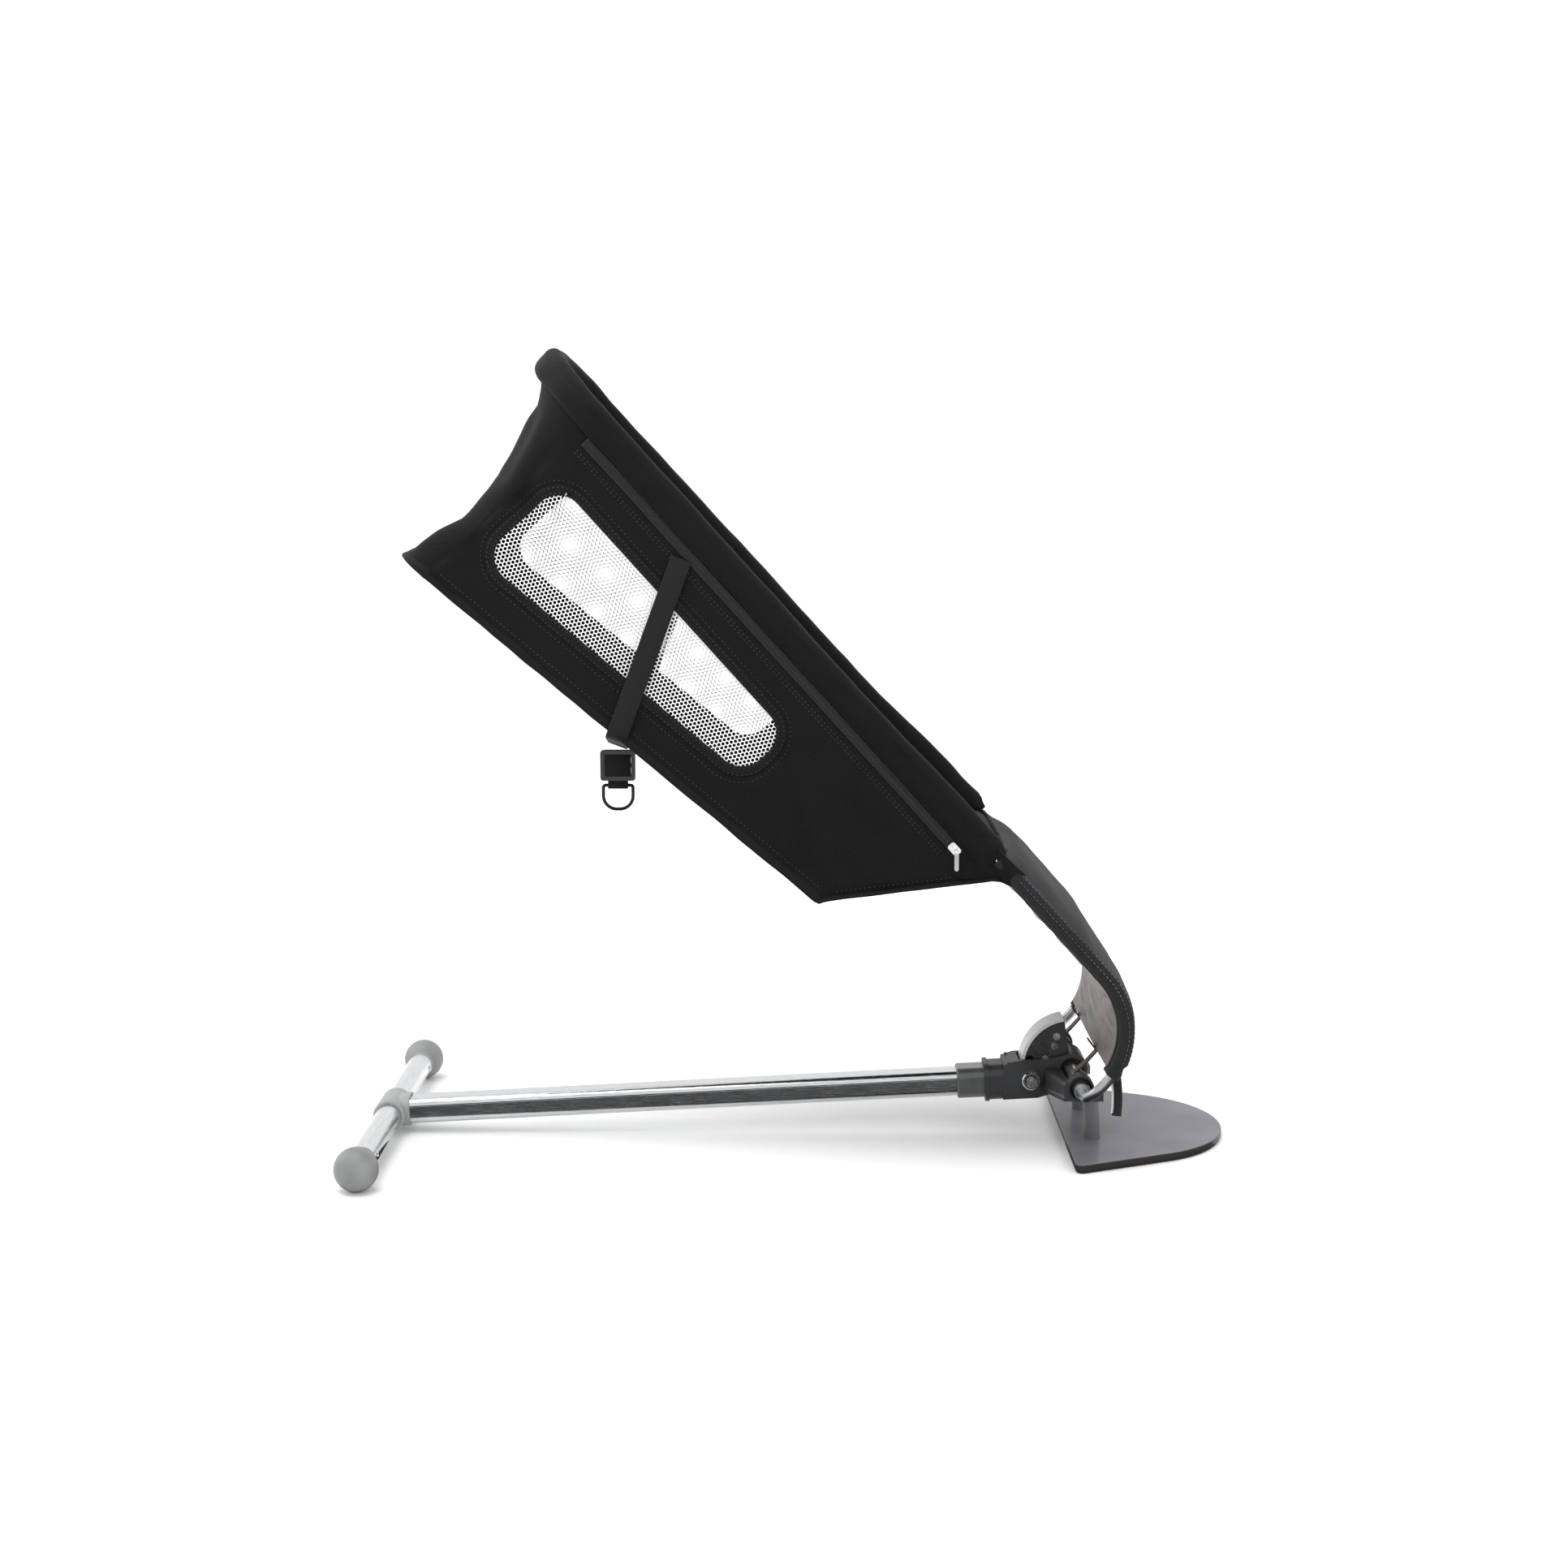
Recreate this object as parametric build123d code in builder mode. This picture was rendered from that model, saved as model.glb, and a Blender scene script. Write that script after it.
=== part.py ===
from build123d import *
import os
from math import atan2, cos, degrees, hypot, radians, sin, tan

# Infant bouncer seat: a fabric bucket on a bent rod frame that pivots on a T-shaped base.
# Millimetres. +X runs from the crossbar to the foot plate and +Z is up. The origin is on the
# floor under the middle of the object. "Right" is the -Y side, the right hand of the child.

os.makedirs("parts", exist_ok=True)

# Overall sizes
overall_length = 841.0
foot_spacing = 383.0            # between the ball centres
axle_rise = 11.76               # of the axle above the rail's centre line
axle_inset = 149.5              # from the nose of the foot plate back to the recline axle

# Clearances
running_gap = 0.05              # round a plain bearing, on the radius
push_gap = 0.1                  # between fixed pieces that slip together, each side
cloth_gap = 0.4                 # between a soft piece and a hard one
moving_gap = 1.0                # between pieces that pass each other

# Crossbar, feet and T joint
ball_radius = 20.5
crossbar_radius = 12.5
crossbar_wall = 1.5
foot_neck_length = 26.0         # from the ball centre to the end of its neck
foot_plug_flange = 1.2
foot_plug_rim = 0.3             # past the tube, on the radius
foot_plug_radius = 6.0
foot_plug_depth = 20.0
foot_plug_insert = 25.0
rivet_radius = 2.0
rivet_head_radius = 3.2
rivet_inset = 13.0              # from the end of the crossbar tube
collar_radius = 15.5
collar_length = 50.0
spigot_length = 40.0

# Rail
rail_tilt = 3.1                 # degrees
rail_width = 30.0
rail_height = 25.0
rail_wall = 1.8
rail_corner = 7.0
rail_start = 19.0               # from the crossbar axis, along the rail
rail_end_inset = 62.0           # from below the axle back to the end of the rail
groove_width = 1.2
groove_depth = 0.5
groove_height = 6.0             # above the rail's centre line
ferrule_length = 27.0
ferrule_inset = 23.0            # from the end of the rail
ferrule_side_wall = 3.0
ferrule_top_wall = 2.5

# Yoke housing: a socket on the rail, two cheeks beside the sector, and two arms
socket_wall = 5.0
socket_floor = 5.0              # beyond the end of the rail
lip_length = 4.0
lip_overhang = 1.5
cheek_gap = 30.0                # between the cheeks
cheek_thickness = 5.0
axle_boss_radius = 15.0
lug_radius = 12.5
stop_block_height = 6.0
stop_block_width = 3.0
stop_block_places = (5.0, 10.0)  # from the start of the cheeks
cheek_reach = 67.0              # from the axle back to the start of the cheeks
lug_width = 14.0
lug_inset = 12.0                # from the end of the axle
arm_height = 16.0
arm_width = 26.0

# Axle, bushes and clips
axle_radius = 8.0
axle_inset_side = 14.0          # from the start of the rod's bend to the end of the axle
bush_wall = 1.5
bush_flange = 1.5
bush_flange_width = 1.6
clip_wall = 2.2
clip_thickness = 2.0

# Recline sector
sector_radius = 46.5
sector_cover = 3.5              # radial thickness of the cover on its rim
sector_cover_width = 28.0
sector_plate_gap = 17.0         # between its two side plates
sector_plate_thickness = 4.0
sector_start = 99.0             # degrees from +X towards +Z
sector_end = 201.0
sector_hub_radius = 15.0
lock_radius = 41.5              # from the axle to the lock pin
lock_angle = 196.7
recline_range = 27.0
recline_stops = 4
lock_pin_radius = 3.0
lock_collar_radius = 4.3
lock_travel = 2.5
button_radius = 5.2
button_length = 4.5
lock_ring_radius = 9.2
lock_ring_length = 3.5
slot_count = 4                  # decorative slots in each side plate
slot_width = 3.0

# Posts and foot plate
post_radius = 7.5
post_spacing = 100.0
post_offset = 17.0              # in front of the axle, at the floor
post_screw_radius = 3.0
plate_width = 285.0
plate_rear_offset = 9.5         # behind the axle
plate_thickness = 5.5
plate_taper = 24.0              # degrees, of the plate's sides
plate_corner = 6.0
sole_thickness = 3.0
sole_inset = 0.8

# Seat frame: round rod, bent at the bottom and straight up to the head
rod_radius = 5.0
rod_spacing = 270.0
stub_bend = 17.0
lower_run = 18.0
lower_run_angle = 45.0          # degrees above the floor
leg_bend = 76.0
seat_angle = 47.6               # degrees above the floor
knee = 133.0                    # where the sides begin to taper
seat_length = 765.0             # from the end of the leg bend to the head
head_half_width = 93.0
head_bend = 84.0
knee_bend = 60.0
rod_joint = 156.0               # where the lower rods meet the upper bow
coupler_length = 34.0
coupler_radius = 6.5
coupler_start = 139.5

# Fabric bucket. Depth is measured down from the rod line, square to it.
sleeve_start = 174.2
sleeve_rise = 11.0
sleeve_drop = 17.0
sleeve_width = 18.0
wall_thickness = 3.0
front_along = 137.0              # front edge of the seat, beside the leg lining
front_depth = 10.0
corner_along = 232.0            # low corner between the seat and the back
corner_depth = 146.0
head_along = 722.0
head_depth = 216.0
shell_start = 690.0             # where the side walls meet the head wall
shell_corner = 26.0
head_wall_reach = [(0.0, 750.0), (47.7, 731.0), (92.7, 717.0), (137.7, 713.0), (172.7, 720.0),
                   (204.7, 722.0)]     # depth below the top edge, and distance along the seat
window_start = 364.0
window_end = 671.0
window_top = 66.0
window_low_depth = 121.0
window_high_depth = 165.0
window_corner = 24.0
binding_width = 9.0
binding_thickness = 1.2
panel_thickness = 2.5
board_thickness = 4.0
pad_thickness = 12.0
board_margin = 10.0

# Leg cover
cover_thickness = 3.0
cover_overhang = 6.0            # past the rods
cover_hem_angle = -34.0         # degrees round the leg bend
lining_hem_angle = -30.0
cover_end = 138.0
lining_end = 134.0
tie_width = 12.0
tie_inset = 14.0                # from the lugs
tie_thickness = 1.8

# Zips
zip_depth = 22.5
zip_width = 9.0
zip_thickness = 1.4
zip_start = 172.0
zip_end = 684.0
slider_length = 12.0
slider_width = 8.0
slider_thickness = 4.0
slider_gap = 0.3
slider_start = 184.0
puller_length = 20.0
puller_width = 4.0
puller_thickness = 1.5
puller_pin_radius = 1.0
tail_length = 34.0

# Support strap, adjuster and ring
strap_width = 20.0
strap_thickness = 1.6
strap_top_along = 546.0
strap_top_depth = 31.0
strap_low_along = 466.0
strap_low_depth = 186.0
strap_gap = 1.1                 # outside the zip tape
strap_sag = 21.0
adjuster_width = 34.0
adjuster_height = 30.0
adjuster_thickness = 5.0
adjuster_bar = 4.0
ring_wire = 1.6                 # radius
ring_width = 32.0
ring_height = 25.0

# Harness
buckle_along = 66.0             # from the low corner, up the back pad
buckle_width = 52.0
buckle_length = 44.0
buckle_thickness = 13.0
harness_width = 25.0
harness_thickness = 1.6
button_hole_radius = 9.0

# Derived places
crossbar_x = -overall_length / 2 + ball_radius
nose_x = overall_length / 2
axle_x = nose_x - axle_inset
plate_top = sole_thickness + plate_thickness
half_spacing = rod_spacing / 2
tilt = radians(rail_tilt)
seat_slope = radians(seat_angle)
along = Vector(-cos(seat_slope), 0, sin(seat_slope))
out = Vector(sin(seat_slope), 0, cos(seat_slope))
axle_height = ball_radius + (axle_x - crossbar_x) * tan(tilt) + axle_rise
axle = Vector(axle_x, 0, axle_height)
rail_end = (axle_x - crossbar_x) / cos(tilt) - rail_end_inset
ferrule_end = rail_end - ferrule_inset
ferrule_start = ferrule_end - ferrule_length
ferrule_width = rail_width + 2 * ferrule_side_wall
ferrule_height = rail_height + 2 * ferrule_top_wall
socket_width = rail_width + 2 * socket_wall
socket_height = rail_height + 2 * socket_wall
socket_end = rail_end + socket_floor
axle_half_length = half_spacing - stub_bend - axle_inset_side
axle_bore = rod_radius + running_gap
lug_outer = axle_half_length - lug_inset
lug_inner = lug_outer - lug_width
cover_half_width = half_spacing + cover_overhang
tie_spacing = 2 * (lug_inner - tie_inset)
rail_origin = Vector(crossbar_x, 0, ball_radius)


def polar(centre, radius, angle):
    """A point in the middle plane at an angle from +X towards +Z."""
    return centre + Vector(radius * cos(radians(angle)), 0, radius * sin(radians(angle)))


bend_start = polar(axle, lower_run, lower_run_angle)
bend_centre = polar(bend_start, leg_bend, lower_run_angle + 90)
leg_top_angle = 90 - seat_angle
seat_origin = polar(bend_centre, leg_bend, leg_top_angle)
side_taper = atan2(half_spacing - head_half_width, seat_length - knee)


def half_width(distance):
    """Half the frame's width at a distance along the seat."""
    return half_spacing - max(0, distance - knee) * tan(side_taper)


def seat_point(distance, depth=0, y=0):
    """A point of the seat from its distance along the rods, its depth and its y."""
    return seat_origin + along * distance - out * depth + Vector(0, y, 0)


def rail_plane(distance):
    """A plane across the rail at a distance from the crossbar axis."""
    direction = Vector(cos(tilt), 0, sin(tilt))
    return Plane(origin=rail_origin + direction * distance, x_dir=(0, 1, 0), z_dir=direction)


def across(x, y, z):
    """A plane whose normal is +Y and whose x axis is +X."""
    return Plane(origin=(x, y, z), x_dir=(1, 0, 0), z_dir=(0, 1, 0))


def save(builder, node):
    builder.part.label = node
    export_step(builder.part, f"parts/{node}.step")


def save_pair(builder, name):
    """Writes the right-hand piece and its mirror image."""
    save(builder, name + "_right")
    with BuildPart() as twin:
        mirror(builder.part, about=Plane.XZ)
    save(twin, name + "_left")


def save_both(builder, node):
    """Writes the right-hand piece and its mirror image as one node of two solids."""
    with BuildPart() as both:
        add(builder.part)
        mirror(builder.part, about=Plane.XZ)
    save(both, node)


side_view = Plane(origin=seat_origin, x_dir=along, z_dir=(0, -1, 0))       # x along, y depth
plan_view = Plane(origin=seat_origin, x_dir=along, z_dir=out)              # x along, y across
wall_along = along * cos(side_taper) + Vector(0, sin(side_taper), 0)
wall_view = Plane(origin=seat_point(knee, 0, -half_spacing), x_dir=wall_along,
                  z_dir=wall_along.cross(out * -1))


def wall_xy(distance, depth):
    """Seat coordinates as x and y in the right-hand wall's own plane."""
    return ((distance - knee) / cos(side_taper), depth)


def plan_outline(start, end, inset):
    """A tapering outline in plan, a fixed distance inside the middle of the walls."""
    near = half_width(start) - inset
    far = half_width(end) - inset
    return [(start, -near), (end, -far), (end, far), (start, near)]


# ---- Base: crossbar, ball feet and T joint

tube_half = foot_spacing / 2 - foot_neck_length - foot_plug_flange
right_foot = across(crossbar_x, -foot_spacing / 2, ball_radius)

with BuildPart(right_foot) as ball_foot:
    Sphere(ball_radius)
    Cylinder(crossbar_radius, foot_neck_length, align=(Align.CENTER, Align.CENTER, Align.MIN))
    with Locations((0, 0, foot_neck_length)):
        Hole(foot_plug_radius + push_gap, foot_plug_depth + push_gap)
save_pair(ball_foot, "ball_foot")

right_tube_end = across(crossbar_x, -tube_half - foot_plug_flange, ball_radius)
plug_insert_radius = crossbar_radius - crossbar_wall - push_gap

with BuildPart(right_tube_end) as foot_plug:
    base = (Align.CENTER, Align.CENTER, Align.MIN)
    Cylinder(crossbar_radius + foot_plug_rim, foot_plug_flange, align=base)
    Cylinder(foot_plug_radius, foot_plug_depth, align=(Align.CENTER, Align.CENTER, Align.MAX))
    with Locations((0, 0, foot_plug_flange)):
        Cylinder(plug_insert_radius, foot_plug_insert, align=base)
    with BuildSketch(Plane.YZ.offset(crossbar_x)):
        with Locations((-tube_half + rivet_inset, ball_radius)):
            Circle(rivet_radius + push_gap)
    extrude(amount=crossbar_radius, mode=Mode.SUBTRACT)
save_both(foot_plug, "foot_plugs")

rivet_places = [(-tube_half + rivet_inset, ball_radius), (tube_half - rivet_inset, ball_radius)]

with BuildPart() as crossbar_tube:
    with BuildSketch(across(crossbar_x, -tube_half, ball_radius)):
        Circle(crossbar_radius)
        Circle(crossbar_radius - crossbar_wall, mode=Mode.SUBTRACT)
    extrude(amount=2 * tube_half)
    with BuildSketch(Plane.YZ.offset(crossbar_x)):
        with Locations(*rivet_places):
            Circle(rivet_radius + push_gap)
    extrude(amount=crossbar_radius + 1, mode=Mode.SUBTRACT)
save(crossbar_tube, "crossbar_tube")

with BuildPart() as crossbar_rivets:
    with BuildSketch(Plane.YZ.offset(crossbar_x + crossbar_radius / 2)):
        with Locations(*rivet_places):
            Circle(rivet_radius)
    extrude(amount=crossbar_radius / 2 + 0.2)
    with BuildSketch(Plane.YZ.offset(crossbar_x + crossbar_radius)):
        with Locations(*rivet_places):
            Circle(rivet_head_radius)
    extrude(amount=1.2, taper=25)
save(crossbar_rivets, "crossbar_rivets")

with BuildPart() as t_joint:
    with BuildSketch(across(crossbar_x, -collar_length / 2, ball_radius)):
        Circle(collar_radius)
    extrude(amount=collar_length)
    fillet(t_joint.edges().filter_by(GeomType.CIRCLE), 1.5)
    with BuildSketch(rail_plane(collar_radius / 2)):
        RectangleRounded(rail_width + 4, rail_height + 4, rail_corner + 2)
    extrude(amount=rail_start - collar_radius / 2)
    with BuildSketch(rail_plane(rail_start)):
        RectangleRounded(rail_width - 2 * (rail_wall + push_gap),
                         rail_height - 2 * (rail_wall + push_gap), rail_corner - rail_wall)
    extrude(amount=spigot_length)
    with BuildSketch(across(crossbar_x, -collar_length / 2, ball_radius)):
        Circle(crossbar_radius + push_gap)
    extrude(amount=collar_length, mode=Mode.SUBTRACT)
save(t_joint, "t_joint")

# ---- Base: rail, ferrule and yoke housing

with BuildPart() as main_rail:
    with BuildSketch(rail_plane(rail_start)):
        RectangleRounded(rail_width, rail_height, rail_corner)
        RectangleRounded(rail_width - 2 * rail_wall, rail_height - 2 * rail_wall,
                         rail_corner - rail_wall, mode=Mode.SUBTRACT)
        with Locations((rail_width / 2, groove_height), (-rail_width / 2, groove_height)):
            Rectangle(2 * groove_depth, groove_width, mode=Mode.SUBTRACT)
    extrude(amount=rail_end - rail_start)
save(main_rail, "main_rail")


with BuildPart() as rail_ferrule:
    with BuildSketch(rail_plane(ferrule_start)):
        RectangleRounded(ferrule_width, ferrule_height, rail_corner + 2)
    extrude(amount=ferrule_end - ferrule_start)
    chamfer(rail_ferrule.faces().sort_by(Axis.X)[0].edges(), 1.0)
    with BuildSketch(rail_plane(ferrule_start)):
        RectangleRounded(rail_width + 2 * push_gap, rail_height + 2 * push_gap,
                         rail_corner + push_gap)
    extrude(amount=ferrule_end - ferrule_start, mode=Mode.SUBTRACT)
save(rail_ferrule, "rail_ferrule")

cheek_outer = cheek_gap / 2 + cheek_thickness
cheek_start_x = axle_x - cheek_reach
lock_pin = polar(axle, lock_radius, lock_angle)
sector_outer = sector_radius + sector_cover
cavity_start_x = axle_x - sector_outer - moving_gap - 1
bush_radius = axle_radius + running_gap + bush_wall
tie_loop_radius = axle_radius + cloth_gap + tie_thickness
trough_radius = tie_loop_radius + moving_gap
post_top = axle_height - 22.0
post_lean = Vector(-sin(tilt), 0, cos(tilt))
post_foot = Vector(axle_x + post_offset, -post_spacing / 2, plate_top)
post_plane = Plane(origin=post_foot, x_dir=(0, 1, 0), z_dir=post_lean)

with BuildPart() as yoke_housing:
    with BuildSketch(rail_plane(ferrule_end)):
        RectangleRounded(socket_width, socket_height, rail_corner + 3)
    extrude(amount=socket_end - ferrule_end)
    with BuildSketch(rail_plane(ferrule_end)):
        RectangleRounded(socket_width + 2 * lip_overhang, socket_height + 2 * lip_overhang,
                         rail_corner + 4)
    extrude(amount=lip_length)
    # Cheeks either side of the sector, with a boss round the axle
    with BuildSketch(Plane.XZ):
        with BuildLine():
            Polyline((cheek_start_x, axle_height - 31.6), (cheek_start_x + 34, axle_height - 29.6),
                     (axle_x, axle_height - 18.6), (axle_x + 10, axle_height - 10.6),
                     (axle_x, axle_height + 14.4), (axle_x - 24, axle_height + 9.4),
                     (cheek_start_x + 12, axle_height + 7.4),
                     (cheek_start_x, axle_height + 3.4), close=True)
        make_face()
        with Locations((axle_x, axle_height)):
            Circle(axle_boss_radius)
    extrude(amount=cheek_outer, both=True)
    # Stop blocks on top of the cheeks
    for stop_place in stop_block_places:
        with Locations((cheek_start_x + stop_place, -cheek_gap / 2 - cheek_thickness / 2,
                        axle_height)):
            Box(stop_block_width, cheek_thickness, stop_block_height,
                align=(Align.CENTER, Align.CENTER, Align.MIN))
    # Room for the sector
    with BuildSketch(Plane.XZ):
        with Locations((cavity_start_x, axle_height - sector_outer)):
            Rectangle(120, 120, align=(Align.MIN, Align.MIN))
    extrude(amount=cheek_gap / 2, both=True, mode=Mode.SUBTRACT)
    # Diagonal arm with moulded grooves, and the lug at its end
    arm_inner = (lock_pin.X + lock_ring_radius + arm_width / 2 + 2, axle_height - 10.6)
    arm_outer = (axle_x - 6, axle_height - 3)
    with BuildSketch(Plane.XZ.offset(cheek_gap / 2 + 1)):
        with Locations(arm_inner):
            RectangleRounded(arm_width, arm_height + 6, 4)
    with BuildSketch(Plane.XZ.offset(lug_outer - 2)):
        with Locations(arm_outer):
            RectangleRounded(20, arm_height, 4)
    loft()
    # Bracket from the arm down to the top of the post
    with BuildSketch(Plane.XY.offset(post_top)):
        with BuildLine():
            Polyline((axle_x - 32, -cheek_gap / 2 - 1), (axle_x + 4, -cheek_gap / 2 - 1),
                     (axle_x + post_offset + 9, -post_spacing / 2 + 9),
                     (axle_x + post_offset + 9, -post_spacing / 2 - 9),
                     (axle_x - 12, -post_spacing / 2 - 9), close=True)
        make_face()
    extrude(amount=8)
    with BuildSketch(Plane.XZ.offset(lug_inner)):
        with Locations((axle_x, axle_height)):
            Circle(lug_radius)
    extrude(amount=lug_outer - lug_inner)
    mirror(about=Plane.XZ)
    # Trough under the axle, room for the bushes, and the axle's way through the cheeks
    with BuildSketch(Plane.XZ):
        with Locations((axle_x, axle_height)):
            Circle(trough_radius)
    extrude(amount=lug_inner, both=True, mode=Mode.SUBTRACT)
    with BuildSketch(Plane.XZ):
        with Locations((axle_x, axle_height)):
            Circle(bush_radius)
    extrude(amount=lug_outer + 1, both=True, mode=Mode.SUBTRACT)
    # Rail socket, lock pin bore and post sockets
    with BuildSketch(rail_plane(ferrule_end)):
        RectangleRounded(rail_width + 2 * push_gap, rail_height + 2 * push_gap,
                         rail_corner + push_gap)
    extrude(amount=rail_end - ferrule_end, mode=Mode.SUBTRACT)
    with BuildSketch(Plane.XZ):
        with Locations((lock_pin.X, lock_pin.Z)):
            Circle(lock_pin_radius + running_gap)
    extrude(amount=cheek_outer + 1, both=True, mode=Mode.SUBTRACT)
save(yoke_housing, "yoke_housing")

with BuildPart() as lock_ring:
    with BuildSketch(Plane.XZ.offset(cheek_outer)):
        with Locations((lock_pin.X, lock_pin.Z)):
            Circle(lock_ring_radius)
            Circle(button_radius + 0.3, mode=Mode.SUBTRACT)
    extrude(amount=lock_ring_length)
    chamfer(lock_ring.edges().filter_by(GeomType.CIRCLE).group_by(Axis.Y)[0], 1.0)
save(lock_ring, "lock_ring")

button_rest = cheek_outer + lock_travel + 0.5

with BuildPart() as lock_button:
    with BuildSketch(Plane.XZ.offset(button_rest)):
        with Locations((lock_pin.X, lock_pin.Z)):
            Circle(button_radius)
    extrude(amount=button_length)
    with BuildSketch(Plane.XZ.offset(button_rest + button_length)):
        with Locations((lock_pin.X, lock_pin.Z)):
            Circle(button_radius / 2)
    extrude(amount=0.8)
    with BuildSketch(Plane.XZ.offset(-cheek_outer + lock_travel)):
        with Locations((lock_pin.X, lock_pin.Z)):
            Circle(lock_pin_radius)
    extrude(amount=button_rest + cheek_outer - lock_travel)
    # Collar that seats in a notch of the sector when the lock is let go
    with BuildSketch(Plane.XZ.offset(1)):
        with Locations((lock_pin.X, lock_pin.Z)):
            Circle(lock_collar_radius)
    extrude(amount=3)
save(lock_button, "lock_button")

# ---- Base: bushes, posts and foot plate

with BuildPart() as axle_bush:
    with BuildSketch(Plane.XZ.offset(lug_inner)):
        with Locations((axle_x, axle_height)):
            Circle(bush_radius)
    extrude(amount=lug_outer - lug_inner)
    with BuildSketch(Plane.XZ.offset(lug_outer)):
        with Locations((axle_x, axle_height)):
            Circle(bush_radius + bush_flange_width)
    extrude(amount=bush_flange)
    with BuildSketch(Plane.XZ.offset(lug_inner)):
        with Locations((axle_x, axle_height)):
            Circle(axle_radius + running_gap)
    extrude(amount=lug_outer + bush_flange - lug_inner, mode=Mode.SUBTRACT)
save_both(axle_bush, "axle_bushes")

with BuildPart() as post:
    with BuildSketch(post_plane.offset(-post_radius)):
        Circle(post_radius)
    extrude(amount=post_top - plate_top + 2 * post_radius)
    split(bisect_by=Plane.XY.offset(plate_top), keep=Keep.TOP)
    split(bisect_by=Plane.XY.offset(post_top), keep=Keep.BOTTOM)
    with BuildSketch(Plane.XY.offset(plate_top)):
        with Locations((post_foot.X, post_foot.Y)):
            Circle(post_screw_radius)
    extrude(amount=14, mode=Mode.SUBTRACT)
save_pair(post, "post")

plate_rear = axle_x - plate_rear_offset
plate_slope = radians(plate_taper)
plate_nose_radius = ((plate_width / 2 * cos(plate_slope)
                      - (nose_x - plate_rear) * sin(plate_slope)) / (1 - sin(plate_slope)))


def plate_outline(inset):
    """D-shaped outline: straight rear edge, tapering sides and a round nose."""
    radius = plate_nose_radius - inset
    nose_centre = nose_x - plate_nose_radius
    touch = (nose_centre + radius * sin(plate_slope), radius * cos(plate_slope))
    rear = plate_rear + inset
    rear_y = touch[1] + (touch[0] - rear) * tan(plate_slope)
    with BuildSketch() as outline:
        with BuildLine():
            Polyline((rear, -rear_y), (rear, rear_y), touch)
            ThreePointArc(touch, (nose_x - inset, 0), (touch[0], -touch[1]))
            Line((touch[0], -touch[1]), (rear, -rear_y))
        make_face()
        fillet(outline.vertices().group_by(Axis.X)[0], plate_corner)
    return outline.sketch


screw_places = [(post_foot.X, -post_spacing / 2), (post_foot.X, post_spacing / 2)]
screw_head_radius = 2 * post_screw_radius

with BuildPart() as foot_plate:
    with BuildSketch(Plane.XY.offset(sole_thickness)):
        add(plate_outline(0))
    extrude(amount=plate_thickness)
    fillet(foot_plate.faces().sort_by(Axis.Z)[-1].edges(), 1.0)
    with BuildSketch(Plane.XY.offset(sole_thickness)):
        with Locations(*screw_places):
            Circle(post_screw_radius + push_gap)
    extrude(amount=plate_thickness, mode=Mode.SUBTRACT)
save(foot_plate, "foot_plate")

with BuildPart() as plate_sole:
    with BuildSketch():
        add(plate_outline(sole_inset))
    extrude(amount=sole_thickness)
    chamfer(plate_sole.faces().sort_by(Axis.Z)[0].edges(), 1.0)
    with BuildSketch():
        with Locations(*screw_places):
            Circle(screw_head_radius + push_gap)
    extrude(amount=sole_thickness, mode=Mode.SUBTRACT)
save(plate_sole, "plate_sole")

with BuildPart() as post_screws:
    with BuildSketch(Plane.XY.offset(sole_thickness - 2)):
        with Locations(*screw_places):
            Circle(screw_head_radius)
    extrude(amount=2)
    with BuildSketch(Plane.XY.offset(sole_thickness)):
        with Locations(*screw_places):
            Circle(post_screw_radius - push_gap)
    extrude(amount=plate_thickness + 12)
save(post_screws, "post_screws")

# ---- Recline: axle, clips and sector

with BuildPart() as cross_axle:
    with BuildSketch(Plane.XZ):
        with Locations((axle_x, axle_height)):
            Circle(axle_radius)
            Circle(axle_bore, mode=Mode.SUBTRACT)
    extrude(amount=axle_half_length, both=True)
save(cross_axle, "cross_axle")

with BuildPart() as axle_clips:
    with BuildSketch(Plane.XZ.offset(lug_outer + bush_flange + 0.4)):
        with Locations((axle_x, axle_height)):
            Circle(axle_radius + clip_wall)
            Circle(axle_radius + push_gap / 2, mode=Mode.SUBTRACT)
    extrude(amount=clip_thickness)
    mirror(about=Plane.XZ)
save(axle_clips, "axle_clips")


def sector_arc(inner, outer, start, end):
    """A ring segment about the axle in the X-Z plane."""
    middle = (start + end) / 2
    ends = [polar(axle, radius, angle) for radius, angle in
            ((outer, start), (outer, middle), (outer, end), (inner, end), (inner, middle),
             (inner, start))]
    points = [(point.X, point.Z) for point in ends]
    with BuildSketch() as segment:
        with BuildLine():
            ThreePointArc(points[0], points[1], points[2])
            Line(points[2], points[3])
            ThreePointArc(points[3], points[4], points[5])
            Line(points[5], points[0])
        make_face()
    return segment.sketch


plate_inner = sector_plate_gap / 2
plate_outer = plate_inner + sector_plate_thickness
fixing_places = [polar(axle, 27, 128), polar(axle, 27, 163), polar(axle, 34, 116)]
stop_step = recline_range / (recline_stops - 1)

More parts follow.
